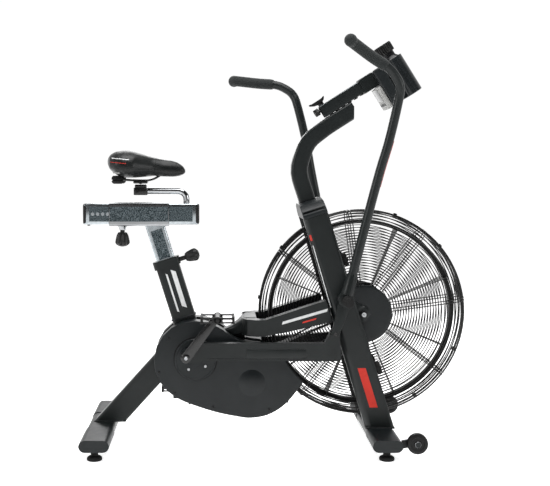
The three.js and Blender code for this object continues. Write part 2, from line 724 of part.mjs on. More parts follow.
function handle(side) {
  const { tubeR, hubR, boreR, half } = HANDLE;
  const y = side * HANDLE.y;
  const hub = drum(hubR, y - half, y + half, 28);
  const bore = drum(boreR, y - half - 5, y + half + 5, 28);
  const shape = new THREE.Shape();
  shape.absarc(0, 0, 22, rad(-20), rad(200), false);
  shape.absarc(0, -LEVER.length, 14, rad(200), rad(340), false);
  const leverY = HANDLE.y - HANDLE.half + LEVER.thick / 2;
  const lever = plate(shape, LEVER.thick, 6).rotateY(rad(LEVER.angle)).translate(0, side * leverY, 0);
  const bolt = drum(9, ...outward(side, leverY + 5, leverY + 11), 12);
  const below = polar({ x: 0, z: 0 }, LEVER.length, 270 - LEVER.angle);
  const socket = new THREE.CylinderGeometry(tubeR + 2, 22, 70, 16)
    .rotateX(Math.PI / 2)
    .translate(0, 0, 52)
    .rotateY(rad(13))
    .translate(0, y, 0);
  const bar = alongCurve(handleCurve(side), 0, 0.955, circle(tubeR, 10), 22);
  const hollow = alongCurve(handleCurve(side), 0.12, 0.98, circle(tubeR - 2.5, 6), 20);
  return cut(join(hub, lever, socket, bar, bolt.translate(below.x, 0, below.z)), bore, hollow);
}

function grip(side) {
  const curve = handleCurve(side);
  const sleeve = alongCurve(curve, GRIP_FROM, 1, circle(GRIP.r, 12), 7);
  const room = alongCurve(curve, GRIP_FROM - 0.05, 0.96, circle(HANDLE.tubeR + 2, 10), 7);
  const end = curve.getPointAt(1);
  const knob = new THREE.SphereGeometry(GRIP.ballR, 12, 6);
  knob.translate(end.x - 9, end.y + side * 16, end.z + 5);
  return cut(join(sleeve, knob), room);
}

function handles() {
  for (const [name, side] of Object.entries(sides)) {
    const swing = side > 0 ? -rad(HANDLE_SWING) : 0;
    add("handle_" + name, handle(side), paint(), PIVOT.x, 0, PIVOT.z).rotation.y = swing;
    add("grip_" + name, grip(side), rubber(), PIVOT.x, 0, PIVOT.z).rotation.y = swing;
    const near = COLUMN.y + COLUMN.wide / 2 + GAP;
    const hubEnd = HANDLE.y + HANDLE.half + 2;
    const stub = drum(HANDLE.boreR - 0.15, ...outward(side, near, hubEnd + 1), 28);
    const peg = drum(PEG.r, ...outward(side, hubEnd, PEG.end), 20);
    add("foot_peg_" + name, join(stub, peg), steel(), PIVOT.x, 0, PIVOT.z);
  }
}

// ---- seat ----
// A knob with flutes, its stem from 0 and its head out to its length.
function knob(r, stem, length) {
  const head = turned([
    [0, stem],
    [r * 0.6, stem],
    [r, stem + 10],
    [r * 0.94, length - 5],
    [r * 0.6, length],
    [0, length],
  ], 12);
  const neck = drum(8, 0, stem + 2, 12);
  const flutes = Array.from({ length: 6 }, (_, i) =>
    drum(5, stem - 1, length + 1, 6).translate(r + 2, 0, 0).rotateY((i * Math.PI) / 3),
  );
  return cut(join(head, neck), ...flutes);
}

// Cross-sections along X, each a rounded dome over a flatter base.
function saddleShape() {
  const sections = [
    [SADDLE.rearX, 948, 974, 34],
    [-292, 930, 986, 76],
    [-269, 914, 997, 100],
    [-242, 908, 999, SADDLE.wide / 2],
    [-209, 908, 994, 98],
    [-176, 911, 983, 76],
    [-143, 914, 971, 53],
    [-110, 912, 963, 38],
    [-77, 911, 959, 31],
    [-53, 912, 953, 25],
    [-37, 915, 944, 18],
    [SADDLE.noseX, 920, 932, 8],
  ];
  const around = 16;
  const points = [];
  for (const [x, low, high, half] of sections) {
    const mid = low + (high - low) * 0.35;
    for (let i = 0; i < around; i += 1) {
      const a = (2 * Math.PI * i) / around;
      const up = Math.sin(a) > 0 ? high - mid : mid - low;
      points.push(x, half * Math.cos(a), mid + up * Math.sin(a));
    }
  }
  return lofted(points, sections.length, around);
}

// Joins equal rings of points into a closed skin; the rings run along +X and turn from Y to Z.
function lofted(points, rings, around) {
  const index = [];
  for (let k = 0; k + 1 < rings; k += 1) {
    for (let i = 0; i < around; i += 1) {
      const [a, b] = [k * around + i, k * around + ((i + 1) % around)];
      index.push(a, b, a + around, b, b + around, a + around);
    }
  }
  const last = (rings - 1) * around;
  for (let i = 1; i + 1 < around; i += 1) {
    index.push(0, i + 1, i, last, last + i, last + i + 1);
  }
  const geometry = new THREE.BufferGeometry();
  geometry.setAttribute("position", new THREE.Float32BufferAttribute(points, 3));
  geometry.setIndex(index);
  return geometry;
}

function saddleRails() {
  const half = [
    [-268, 42, 902.5],
    [-240, 30, 899],
    [-205, 22, 898],
    [-160, 22, 898],
    [-115, 14, 901],
    [-85, 5, 903],
  ];
  const points = [...half, ...half.toReversed().map(([x, y, z]) => [x, -y, z])];
  return tube(points.map((p) => new THREE.Vector3(...p)), circle(3.5, 6), 26);
}

function seat() {
  const postLow = onMast(POST.low);
  const sleeveLow = SLIDER.z - SLIDE_SLEEVE.tall / 2 - GAP;
  const bar = leaning(boxTube(POST.deep, POST.wide, POST.wall, 6), 500, SEAT_LEAN);
  bar.translate(postLow.x, 0, postLow.z);
  add("seat_post", cut(bar, block(-500, 100, -60, 60, sleeveLow, 1200)), zinc());

  const { rearX, frontX, tall, wide } = SLIDE_SLEEVE;
  const sleeve = holed(roundRect(tall, wide, 6), roundRect(SLIDER.tall + 1, SLIDER.wide + 1, 3));
  add("slider_sleeve", leaning(sleeve, frontX - rearX, -90), chrome(), rearX, 0, SLIDER.z);
  const rail = leaning(boxTube(SLIDER.tall, SLIDER.wide, 2.5, 5), SLIDER.frontX - SLIDER.rearX, -90);
  add("slider_rail", rail, zinc(), SLIDER.rearX, 0, SLIDER.z);

  const railTop = SLIDER.z + SLIDER.tall / 2 + GAP;
  const { rearX: back, footX, z } = STEM;
  const bend = [
    [back, z],
    [footX - 45, z],
    [footX - 18, z - 3],
    [footX - 4, z - 14],
    [footX, railTop + 14],
    [footX, railTop],
  ];
  const stem = tube(bend.map(([x, zz]) => new THREE.Vector3(x, 0, zz)), circle(STEM.r, 12), 14);
  const flush = block(-100, 50, -60, 60, 700, railTop);
  add("seat_stem", cut(stem, flush), chrome());

  const bore = drum(STEM.r + GAP, -40, 40, 16).rotateZ(Math.PI / 2).translate(-187, 0, z);
  const jaw = block(-211, -163, -30, 30, z - 14, 897);
  add("saddle_clamp", join(cut(jaw, bore), saddleRails()), paint());
  add("saddle", saddleShape(), vinyl());

  const sleeveKnob = knob(25, 24, 72).rotateX(-Math.PI / 2);
  add("slider_knob", sleeveKnob, plastic(), -251, 0, sleeveLow);
  const face = onMast(MAST.top + 12);
  const turn = rad(SEAT_LEAN);
  const out = MAST.deep / 2 + 6 + GAP;
  const mastKnob = knob(22, 22, 70).rotateZ(-Math.PI / 2).rotateY(-turn);
  add(
    "mast_knob",
    mastKnob,
    plastic(),
    face.x + out * Math.cos(turn),
    0,
    face.z + out * Math.sin(turn),
  );
}

// ---- console boom, console, bottle ----
// Everything here is drawn with x along the boom from its rear end, and z square to it.
function consoleSet() {
  const top = new THREE.Group();
  top.position.set(BOOM.rear[0], 0, BOOM.rear[1]);
  top.rotation.y = -rad(BOOM_RISE);
  bike.add(top);
  const put = (...args) => top.add(add(...args));

  const { deep, wide, length } = BOOM;
  const boom = leaning(boxTube(deep, wide, 2.5, 5), length, -90);
  const collar = leaning(roundRect(52, 54, 5), 50, -90).translate(length - 50, 0, 0);
  const room = leaning(boxTubeRoom(deep, wide, 2.5), length + 20, -90).translate(-10, 0, 0);
  put("console_boom", cut(join(boom, collar), room), paint());

  const { thick, wide: across, low, high } = CONSOLE;
  const back = length + GAP + thick;
  const slab = extrude(roundRect(high - low, across, 10), thick).rotateY(Math.PI / 2);
  put("console_body", slab, plastic(), length + GAP, 0, (high + low) / 2);

  const { r, long, wall, x, low: cupLow } = BOTTLE;
  const cup = drum(r, 0, long, 28).rotateX(Math.PI / 2);
  const hollow = drum(r - wall, wall, long + 10, 28).rotateX(Math.PI / 2);
  const lug = block(back + GAP - x, 0, -18, 18, 20, long - 20);
  put("bottle_holder", cut(join(cup, lug), hollow), plastic(), x, 0, cupLow);

  const inR = r - wall - 1;
  const bottle = turned([
    [0, wall + GAP],
    [inR - 3, wall + GAP],
    [inR, wall + 4],
    [inR, long - 4],
    [24, long + 8],
    [24, long + 24],
    [31, long + 25],
    [31, long + 54],
    [28, long + 57],
    [0, long + 57],
  ], 24).rotateX(Math.PI / 2);
  put("drink_bottle", bottle, plastic(), x, 0, cupLow);

  const paddle = block(-37, 21, -9, 9, 18, 22);
  const post = drum(8, 0, 20, 16).rotateX(Math.PI / 2);
  put("boom_lever", join(post, paddle), plastic(), 12, 0, deep / 2 + GAP);
  const head = drum(12.5, 4, 24, 16).rotateZ(Math.PI / 2);
  const boss = drum(7, 0, 6, 12).rotateZ(Math.PI / 2);
  put("boom_knob", join(head, boss), plastic(), -GAP, 0, 8);
}

const boxTubeRoom = (deep, wide, wall) => roundRect(deep - 2 * wall, wide - 2 * wall, 2.5);

base();
frame();
columnTop();
drive();
crankset();
handles();
seat();
consoleSet();

export default bike;
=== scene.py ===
"""Looks of the air bike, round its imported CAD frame. Metres, +Z up, +X forward, -Y the rider's right."""

import json
import math

import bmesh
import bpy
from mathutils import Matrix, Vector

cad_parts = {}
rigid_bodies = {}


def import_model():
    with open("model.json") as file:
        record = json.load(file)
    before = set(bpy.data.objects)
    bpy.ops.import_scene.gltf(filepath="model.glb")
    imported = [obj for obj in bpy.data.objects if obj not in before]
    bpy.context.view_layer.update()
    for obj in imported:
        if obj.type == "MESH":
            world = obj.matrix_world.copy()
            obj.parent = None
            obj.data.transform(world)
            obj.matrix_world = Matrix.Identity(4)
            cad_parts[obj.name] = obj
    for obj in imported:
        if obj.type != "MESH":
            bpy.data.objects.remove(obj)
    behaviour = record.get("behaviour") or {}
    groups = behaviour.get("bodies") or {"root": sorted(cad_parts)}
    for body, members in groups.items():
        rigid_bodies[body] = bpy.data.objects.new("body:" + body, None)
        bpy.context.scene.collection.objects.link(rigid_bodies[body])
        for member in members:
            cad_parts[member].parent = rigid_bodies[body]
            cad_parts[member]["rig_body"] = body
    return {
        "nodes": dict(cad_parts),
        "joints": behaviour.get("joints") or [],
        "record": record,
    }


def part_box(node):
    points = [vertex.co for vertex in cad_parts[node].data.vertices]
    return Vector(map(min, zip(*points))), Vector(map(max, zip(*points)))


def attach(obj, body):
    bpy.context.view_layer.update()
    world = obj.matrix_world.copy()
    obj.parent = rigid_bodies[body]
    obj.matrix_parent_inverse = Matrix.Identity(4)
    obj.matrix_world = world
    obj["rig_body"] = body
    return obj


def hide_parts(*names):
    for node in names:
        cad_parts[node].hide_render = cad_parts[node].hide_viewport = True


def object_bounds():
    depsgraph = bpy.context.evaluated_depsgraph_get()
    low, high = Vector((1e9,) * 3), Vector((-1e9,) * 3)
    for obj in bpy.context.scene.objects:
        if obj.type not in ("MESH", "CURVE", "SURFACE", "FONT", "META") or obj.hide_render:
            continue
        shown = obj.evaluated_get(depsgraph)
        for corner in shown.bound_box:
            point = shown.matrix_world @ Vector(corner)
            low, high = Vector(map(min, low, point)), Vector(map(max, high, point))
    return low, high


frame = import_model()
CAD_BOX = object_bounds()
NODES = frame["nodes"]
RECORD = frame["record"]
JOINTS = {j["name"]: j for j in frame["joints"]}
SLOT = {s["node"]: s["material_slot"] for s in RECORD["subparts"]}
SIDES = {"right": -1, "left": 1}

MM = 0.001
SEAT_LEAN = 17.3  # degrees, seat mast leans back
COLUMN_LEAN = 17.5  # degrees, front columns lean back
BOOM_RISE = 32.5  # degrees, console boom above level
HANDLE_SWING = 25.4  # degrees between the two handles

# Fan cage: face wires from the hub plate out to the shoulder, then a curved rim down to the seam.
CAGE = {"hub": 98 * MM, "shoulder": 298 * MM, "rim": 350 * MM, "face": 70.4 * MM, "pitch": 9.3 * MM}
WIRE = 1.9 * MM
SPOKES = 8
SPOKE_START = 8  # degrees
CLIP_ANGLES = (7, 40, 71, 110, 141, 172, 205, 235, 270, 303, 338)
CLAMP_SHARES = (-0.5461, 0.5539)  # of the rim's radius, up the columns from the fan axle
PADDLES = 8

# The drive cover: shares of its length from the rear, with each tab's width in mm.
HOUSING_TABS = ((0.0725, 9), (0.1457, 20), (0.2366, 8), (0.8948, 8))
# The drive cover's screws: shares of its length from the rear and of its height.
HOUSING_SCREWS = ((0.033, 0.4737), (0.1397, 0.2572), (0.3967, 0.1128), (0.7722, 0.0888), (0.0963, 0.8226))

# Centre line of the right handle, from its pivot, in mm: forward, outward, up.
HANDLE_LINE = [
    (12, 165, 50), (20, 165, 84), (96, 175, 392), (131, 185, 521), (157, 194, 645),
    (160, 203, 688), (147, 207, 718), (120, 212, 748), (66, 226, 781), (2, 250, 823),
]
GRIP_FROM = 0.845  # share of the centre line where the grip starts
LEVER_LENGTH = 119 * MM
LEVER_LEAN = 16.3  # degrees rearward of straight down


def joint_at(name):
    return Vector(JOINTS[name]["pos_m"])


CRANK = joint_at("crank_spin")
FAN = joint_at("fan_spin")
JACK = joint_at("jackshaft_spin")


def frame_x(from_crank_mm):
    return CRANK.x + from_crank_mm * MM


def leaning(degrees):
    """The directions up and ahead for a part that leans back."""
    a = math.radians(degrees)
    return Vector((-math.sin(a), 0, math.cos(a))), Vector((math.cos(a), 0, math.sin(a)))


COLUMN_FOOT = Vector((frame_x(620), 0, 67.5 * MM))
COLUMN_UP, COLUMN_AHEAD = leaning(COLUMN_LEAN)
MAST_UP, MAST_AHEAD = leaning(SEAT_LEAN)


# ---- materials ----
class Finish:
    """A procedural material: a Principled shader with noise on its colour, its roughness and its bump."""

    def __init__(self, name, rough, metal=0.0, coat=0.0, sheen=0.0):
        self.material = bpy.data.materials.new(name)
        self.material.use_nodes = True
        self.tree = self.material.node_tree
        self.shader = self.tree.nodes["Principled BSDF"]
        self.shader.inputs["Metallic"].default_value = metal
        self.shader.inputs["Roughness"].default_value = rough
        self.shader.inputs["Coat Weight"].default_value = coat
        self.shader.inputs["Sheen Weight"].default_value = sheen
        self.shader.inputs["Specular IOR Level"].default_value = 0.26
        self.place = self.node("ShaderNodeTexCoord").outputs["Object"]

    def node(self, kind):
        return self.tree.nodes.new(kind)

    def join(self, a, b):
        self.tree.links.new(a, b)

    def noise(self, scale, detail=4.0, stretch=None):
        texture = self.node("ShaderNodeTexNoise")
        texture.inputs["Scale"].default_value = scale
        texture.inputs["Detail"].default_value = detail
        where = self.place
        if stretch:
            mapping = self.node("ShaderNodeMapping")
            mapping.inputs["Scale"].default_value = stretch
            self.join(where, mapping.inputs["Vector"])
            where = mapping.outputs["Vector"]
        self.join(where, texture.inputs["Vector"])
        return texture.outputs["Fac"]

    def cells(self, scale, feature="F1"):
        texture = self.node("ShaderNodeTexVoronoi")
        texture.feature = feature
        texture.inputs["Scale"].default_value = scale
        self.join(self.place, texture.inputs["Vector"])
        return texture.outputs["Distance"]

    def between(self, fac, low, high, start=0.3, end=0.7):
        """Colours from low to high as fac goes from start to end."""
        ramp = self.node("ShaderNodeValToRGB")
        ramp.color_ramp.elements[0].position = start
        ramp.color_ramp.elements[1].position = end
        ramp.color_ramp.elements[0].color = (*low, 1)
        ramp.color_ramp.elements[1].color = (*high, 1)
        self.join(fac, ramp.inputs["Fac"])
        return ramp.outputs["Color"]

    def colour(self, fac, low, high, start=0.3, end=0.7):
        self.join(self.between(fac, low, high, start, end), self.shader.inputs["Base Color"])
        return self

    def vary_roughness(self, fac, low, high):
        span = self.node("ShaderNodeMapRange")
        span.inputs["To Min"].default_value = low
        span.inputs["To Max"].default_value = high
        self.join(fac, span.inputs["Value"])
        self.join(span.outputs["Result"], self.shader.inputs["Roughness"])
        return self

    def bump(self, fac, strength, depth):
        bump = self.node("ShaderNodeBump")
        bump.inputs["Strength"].default_value = strength
        bump.inputs["Distance"].default_value = depth
        self.join(fac, bump.inputs["Height"])
        self.join(bump.outputs["Normal"], self.shader.inputs["Normal"])
        return self


def coated(name, dark, light, rough, grain, strength, **shader):
    """A paint or plastic: two close tones, a fine grain, and roughness that drifts over the surface."""
    f = Finish(name, rough, **shader)
    f.colour(f.noise(14), dark, light)
    f.vary_roughness(f.noise(38, 6), rough - 0.06, rough + 0.08)
    f.bump(f.noise(grain, 2), strength, 0.0002)
    return f.material


def mottled_zinc():
    f = Finish("zinc_spangle", 0.4, metal=0.7)
    f.colour(f.noise(330, 9), (0.012, 0.02, 0.023), (0.2, 0.24, 0.26), 0.4, 0.72)
    f.vary_roughness(f.noise(160, 5), 0.28, 0.5)
    f.bump(f.cells(520), 0.12, 0.0002)
    return f.material


def bright_zinc():
    f = Finish("zinc", 0.2, metal=1.0)
    f.colour(f.noise(60, 6), (0.32, 0.35, 0.37), (0.48, 0.52, 0.54))
    f.vary_roughness(f.noise(120, 5), 0.14, 0.3)
    return f.material


def polished_chrome():
    f = Finish("chrome", 0.08, metal=1.0)
    f.colour(f.noise(9), (0.3, 0.31, 0.32), (0.42, 0.43, 0.44))
    f.vary_roughness(f.noise(60, 6), 0.05, 0.13)
    return f.material


def turned_steel():
    f = Finish("steel", 0.28, metal=1.0)
    f.colour(f.noise(30), (0.4, 0.41, 0.42), (0.56, 0.57, 0.58))
    f.bump(f.noise(260, 3, (1, 14, 1)), 0.1, 0.0001)
    return f.material


def black_vinyl():
    f = Finish("vinyl", 0.42, sheen=0.04)
    f.colour(f.noise(20), (0.004, 0.005, 0.005), (0.008, 0.009, 0.009))
    f.vary_roughness(f.noise(55, 5), 0.28, 0.42)
    f.bump(f.cells(620, "SMOOTH_F1"), 0.22, 0.0003)
    return f.material


def foam():
    f = Finish("foam", 0.78, sheen=0.1)
    f.colour(f.noise(700, 3), (0.008, 0.01, 0.01), (0.018, 0.021, 0.021))
    f.bump(f.cells(1100), 0.35, 0.0003)
    return f.material


def print_ink(name, colour):
    f = Finish(name, 0.5)
    f.colour(f.noise(90, 5), tuple(c * 0.86 for c in colour), colour)
    f.bump(f.noise(900, 2), 0.05, 0.0001)
    return f.material


LOOK = {
    "frame_paint": coated("powder_coat", (0.007, 0.009, 0.009), (0.01, 0.0125, 0.0125), 0.33, 1500, 0.1),
    "cage_paint": coated("cage_paint", (0.004, 0.004, 0.004), (0.009, 0.009, 0.009), 0.3, 900, 0.05),
    "fan_paint": coated("fan_paint", (0.003, 0.003, 0.003), (0.007, 0.007, 0.007), 0.5, 900, 0.08),
    "moving_paint": coated("arm_paint", (0.008, 0.01, 0.01), (0.012, 0.0145, 0.0145), 0.33, 1500, 0.1),
    "black_plastic": coated(
        "moulded_plastic", (0.0075, 0.0095, 0.0105), (0.011, 0.0135, 0.0145), 0.38, 2100, 0.14),
    "knob_plastic": coated("knob_plastic", (0.006, 0.006, 0.006), (0.011, 0.011, 0.011), 0.34, 1700, 0.08),
    "foot_rubber": coated("foot_rubber", (0.004, 0.004, 0.004), (0.008, 0.008, 0.008), 0.7, 800, 0.2),
    "wheel_rubber": coated("wheel_rubber", (0.004, 0.004, 0.004), (0.008, 0.008, 0.008), 0.5, 700, 0.15),
    "crank_metal": coated(
        "crank_gloss", (0.006, 0.006, 0.006), (0.012, 0.012, 0.012), 0.2, 500, 0.04, coat=0.4),
    "belt_rubber": coated("belt_rubber", (0.005, 0.005, 0.005), (0.01, 0.01, 0.01), 0.7, 600, 0.2),
    "holder_metal": coated(
        "holder_gloss", (0.006, 0.008, 0.009), (0.012, 0.014, 0.015), 0.22, 400, 0.03, coat=0.5),
    "bottle_plastic": coated("bottle_plastic", (0.005, 0.005, 0.006), (0.01, 0.01, 0.011), 0.28, 900, 0.06),
    "plain_steel": turned_steel(),
    "grip_rubber": foam(),
    "zinc_plate": bright_zinc(),
    "chrome_plate": polished_chrome(),
    "saddle_vinyl": black_vinyl(),
}
SPANGLE = mottled_zinc()
WHITE = print_ink("white_print", (0.7, 0.71, 0.71))
RED = print_ink("red_print", (0.55, 0.03, 0.018))
GREY = coated("grey_panel", (0.3, 0.3, 0.29), (0.35, 0.35, 0.34), 0.5, 1200, 0.03)
SCREEN = coated("dark_screen", (0.006, 0.008, 0.008), (0.012, 0.015, 0.014), 0.12, 300, 0.01, coat=0.8)


# ---- mesh tools ----
move = Matrix.Translation


def mm(*points):
    """Points given in millimetres."""
    return [tuple(c * MM for c in p) for p in points]


def mirrored(*points):
    """(radius, height) points in millimetres, and then the same points with their heights turned over."""
    return mm(*points, *((r, -h) for r, h in reversed(points)))


def turn_y(degrees):
    return Matrix.Rotation(math.radians(degrees), 4, "Y")


def sideways(centre, side):
    """Local Z points outward along Y on that side, from centre."""
    return move(centre) @ Matrix.Rotation(math.radians(-90 * side), 4, "X")


def add_rings(bm, rings, closed=False, caps=True):
    """Joins equal rings of points into a skin."""
    made = [[bm.verts.new(p) for p in ring] for ring in rings]
    pairs = list(zip(made, made[1:])) + ([(made[-1], made[0])] if closed else [])
    for a, b in pairs:
        for i in range(len(a)):
            k = (i + 1) % len(a)
            bm.faces.new((a[i], a[k], b[k], b[i]))
    if caps and not closed:
        bm.faces.new(list(reversed(made[0])))
        bm.faces.new(made[-1])


def add_lathe(bm, profile, matrix, count=48, lobes=0, depth=0.0, closed=False):
    """profile holds (radius, height) up local Z. Lobes pull the wall in, as on a fluted knob."""
    def point(r, h, i):
        a = 2 * math.pi * i / count
        pull = depth * (0.5 - 0.5 * math.cos(lobes * a)) ** 2 if lobes else 0
        return matrix @ Vector((r * (1 - pull) * math.cos(a), r * (1 - pull) * math.sin(a), h))

    rings = [[point(max(r, 1e-5), h, i) for i in range(count)] for r, h in profile]
    add_rings(bm, rings, closed=closed)


def add_block(bm, size, matrix, bevel=0.0, segments=3):
    made = bmesh.ops.create_cube(bm, size=1.0, matrix=matrix @ Matrix.Diagonal((*size, 1)))
    if bevel:
        edges = list({e for v in made["verts"] for e in v.link_edges})
        bmesh.ops.bevel(bm, geom=edges, offset=bevel, segments=segments, affect="EDGES", profile=0.5)


def add_tube(bm, points, radius, count=16, closed=False):
    """A round bar along points; radius is one number or one for each point."""
    radii = radius if isinstance(radius, (list, tuple)) else [radius] * len(points)
    rings, normal = [], None
    last = len(points) - 1
    for i, p in enumerate(points):
        ahead = points[(i + 1) % len(points)] if closed or i < last else p
        behind = points[i - 1] if closed or i else p
        along = (ahead - behind).normalized()
        if normal is None:
            normal = along.orthogonal().normalized()
        normal = (normal - along * normal.dot(along)).normalized()
        other = along.cross(normal)
        angles = [2 * math.pi * k / count for k in range(count)]
        rings.append([p + radii[i] * (math.cos(a) * normal + math.sin(a) * other) for a in angles])
    add_rings(bm, rings, closed=closed)


def add_plate(bm, outline, y0, y1, matrix=Matrix(), bevel=0.0):
    """An outline of (x, z) points, made into a plate from y0 to y1."""
    low, high = min(y0, y1), max(y0, y1)
    before = set(bm.verts)
    add_rings(bm, [[matrix @ Vector((x, y, z)) for x, z in outline] for y in (low, high)])
    if bevel:
        fresh = [v for v in bm.verts if v not in before]
        edges = {e for v in fresh for e in v.link_edges}
        rims = [e for e in edges if any(len(f.verts) > 4 for f in e.link_faces)]
        bmesh.ops.bevel(bm, geom=rims, offset=bevel, segments=3, affect="EDGES", profile=0.5)


def arc(x, z, r, start, end, steps=16):
    angles = [math.radians(start + (end - start) * i / steps) for i in range(steps + 1)]
    return [(x + r * math.cos(a), z + r * math.sin(a)) for a in angles]


def smooth_line(points, per_span=10):
    """A Catmull-Rom line through points."""
    padded = [2 * points[0] - points[1], *points, 2 * points[-1] - points[-2]]
    line = []
    for a, b, c, d in zip(padded, padded[1:], padded[2:], padded[3:]):
        for i in range(per_span):
            t = i / per_span
            line.append(0.5 * (2 * b + (c - a) * t + (2 * a - 5 * b + 4 * c - d) * t**2
                               + (3 * b - a - 3 * c + d) * t**3))
    return [*line, points[-1]]


def stretch_of(line, start, end):
    """The part of a line between two shares of its length."""
    reach = [0.0]
    for a, b in zip(line, line[1:]):
        reach.append(reach[-1] + (b - a).length)
    return [p for p, s in zip(line, reach) if start <= s / reach[-1] <= end]


def piece(name, bm, look, body, stands_for=(), slot=None, sharp=38):
    """look is a material, or a slot's name, whose look the piece takes."""
    if isinstance(look, str):
        slot = slot or look
        look = LOOK[look]
    bmesh.ops.recalc_face_normals(bm, faces=bm.faces)
    mesh = bpy.data.meshes.new(name)
    bm.to_mesh(mesh)
    bm.free()
    mesh.materials.clear()
    mesh.materials.append(look)
    mesh.shade_smooth()
    mesh.set_sharp_from_angle(angle=math.radians(sharp))
    made = bpy.data.objects.new(name, mesh)
    bpy.context.scene.collection.objects.link(made)
    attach(made, body)
    if stands_for:
        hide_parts(*stands_for)
    return made


def turned(name, profile, matrix, look, body, stands_for=(), slot=None, **shape):
    """A piece made of one lathed profile."""
    bm = bmesh.new()
    add_lathe(bm, profile, matrix, **shape)
    return piece(name, bm, look, body, stands_for, slot)


def merged(node):
    """A CAD node's mesh with its flat faces joined."""
    bm = bmesh.new()
    bm.from_mesh(NODES[node].data)
    bmesh.ops.remove_doubles(bm, verts=bm.verts, dist=1e-5)
    bmesh.ops.dissolve_limit(bm, angle_limit=math.radians(1), verts=bm.verts, edges=bm.edges)
    return bm


def drop_cad_normals(made):
    if "custom_normal" in made.data.attributes:
        made.data.attributes.remove(made.data.attributes["custom_normal"])


def refine(node, bevel=1.2, segments=3, angle=35, keep=None):
    """A finished copy of a CAD node, with its sharp edges rounded unless keep(edge)."""
    bm = merged(node)
    weight = bm.edges.layers.float.new("bevel_weight_edge")
    for edge in bm.edges:
        if edge.calc_face_angle(0) > math.radians(angle) and not (keep and keep(edge)):
            edge[weight] = 1
    made = piece(node + "_finished", bm, SLOT[node], NODES[node]["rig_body"], [node], sharp=180)
    drop_cad_normals(made)
    rounding = made.modifiers.new("rounding", "BEVEL")
    rounding.width = bevel * MM
    rounding.segments = segments
    rounding.limit_method = "WEIGHT"
    made.modifiers.new("normals", "WEIGHTED_NORMAL").keep_sharp = True
    return made


def bolt(bm, centre, side, r=6 * MM, proud=4 * MM):
    """A socket head screw, facing outward on that side."""
    profile = [
        (0, -1 * MM), (r, -1 * MM), (r, proud * 0.75), (r * 0.86, proud), (r * 0.5, proud),
        (r * 0.45, proud * 0.3), (0, proud * 0.3),
    ]
    add_lathe(bm, profile, sideways(centre, side), 24)


def bolts(name, places, body, r=6 * MM, look="plain_steel", slot=None):
    bm = bmesh.new()
    for centre, side in places:
        bolt(bm, centre, side, r)
    return piece(name, bm, look, body, slot=slot)


def stripe(name, start, end, width, look, body, skew=0.0):
    """A plain printed stripe on a side face: from start to end, both at the same Y, width across."""
    bm = bmesh.new()
    side = math.copysign(1, start.y)
    along = (end - start).normalized()
    across = along.cross(Vector((0, 1, 0))).normalized() * width / 2
    lean = along * skew
    corners = [start - across - lean, end - across - lean, end + across + lean, start + across + lean]
    lift = Vector((0, side * 0.25 * MM, 0))
    add_rings(bm, [[c - lift for c in corners], [c + lift for c in corners]])
    return piece(name, bm, look, body)


# ---- base ----
def base():
    for node in ("rear_stabilizer", "front_stabilizer"):
        refine(node, 0.8)
    for side_name, side in SIDES.items():
        for end in ("rear", "front"):
            refine(f"{end}_end_sleeve_{side_name}", 1.6)
            levelling_foot(end, side_name)
        transport_wheel(side_name, side)


def levelling_foot(end, side_name):
    node = f"{end}_foot_{side_name}"
    low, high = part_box(node)
    centre = (low + high) / 2
    r, top = (high.x - low.x) / 2 / MM, high.z / MM
    profile = mm((0, 0), (r - 3, 0), (r - 1, 0.8), (r, 3), (r, 8), (r - 1.5, 10.5), (r - 5, 13.5), (13, 16),
                 (12, 18), (12, top), (0, top))
    turned(node + "_finished", profile, move((centre.x, centre.y, 0)), "foot_rubber",
           "frame", [node])


def transport_wheel(side_name, side):
    node = "transport_wheel_" + side_name
    centre = joint_at(side_name + "_wheel_spin")
    low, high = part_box(node)
    r, half = (high.z - low.z) / 2 / MM, (high.y - low.y) / 2 / MM
    profile = mirrored((5.3, -half + 2), (r * 0.62, -half + 2), (r * 0.66, -half), (r - 5, -half),
                       (r - 1.4, -half + 1.6), (r, -half + 5))
    turned(node + "_finished", profile, sideways(centre, side), "wheel_rubber", side_name + "_wheel",
           [node], count=64, closed=True)
    head = centre + Vector((0, side * 12.4 * MM, 0))
    profile = mm((0, 0), (9.4, 0), (9.4, 3.2), (8, 4.5), (4, 4.5), (3.6, 2), (0, 2))
    turned(f"wheel_bolt_{side_name}", profile, sideways(head, side), "plain_steel", "frame", count=32)


# ---- frame ----
def frame_tubes():
    top = 745 * MM / math.cos(math.radians(COLUMN_LEAN))
    seam = lambda edge: all(abs(height_up_column(v.co) - top) < 2 * MM for v in edge.verts)
    refine("seat_mast", 1.5, angle=60)
    refine("rear_leg", 0.8, angle=60)
    refine("fork_frame", 3)
    slimmer(refine("column_head", 11, 5, keep=lambda edge: seam(edge) or not on_skin("column_head", edge)))
    yoke_neck()
    refine("console_mast", 1.0, angle=60)
    for side_name, side in SIDES.items():
        slimmer(refine("front_column_" + side_name, 6, 4, keep=lambda edge: not long_corner(edge)))
        column_marks(side_name, side)
        mast_marks(side_name, side)
    mast_gasket()
    mast_foot_ring()
    weld_beads()


def up_column(s, y, across=0.0):
    """A point s up the front columns, across forward of their centre line."""
    return COLUMN_FOOT + COLUMN_UP * s + COLUMN_AHEAD * across + Vector((0, y, 0))


def height_up_column(point):
    """How far up the columns a point is, in metres."""
    return (point - COLUMN_FOOT).dot(COLUMN_UP)


def across_column(point):
    """How far ahead of the columns' centre line a point is."""
    return (point - COLUMN_FOOT).dot(COLUMN_AHEAD)


def on_skin(node, edge):
    """Whether both ends of an edge lie on the node's frontmost or rearmost plane."""
    reach = [across_column(v.co) for v in NODES[node].data.vertices]
    rear, front = min(reach), max(reach)
    return all(min(across_column(v.co) - rear, front - across_column(v.co)) < 0.5 * MM for v in edge.verts)


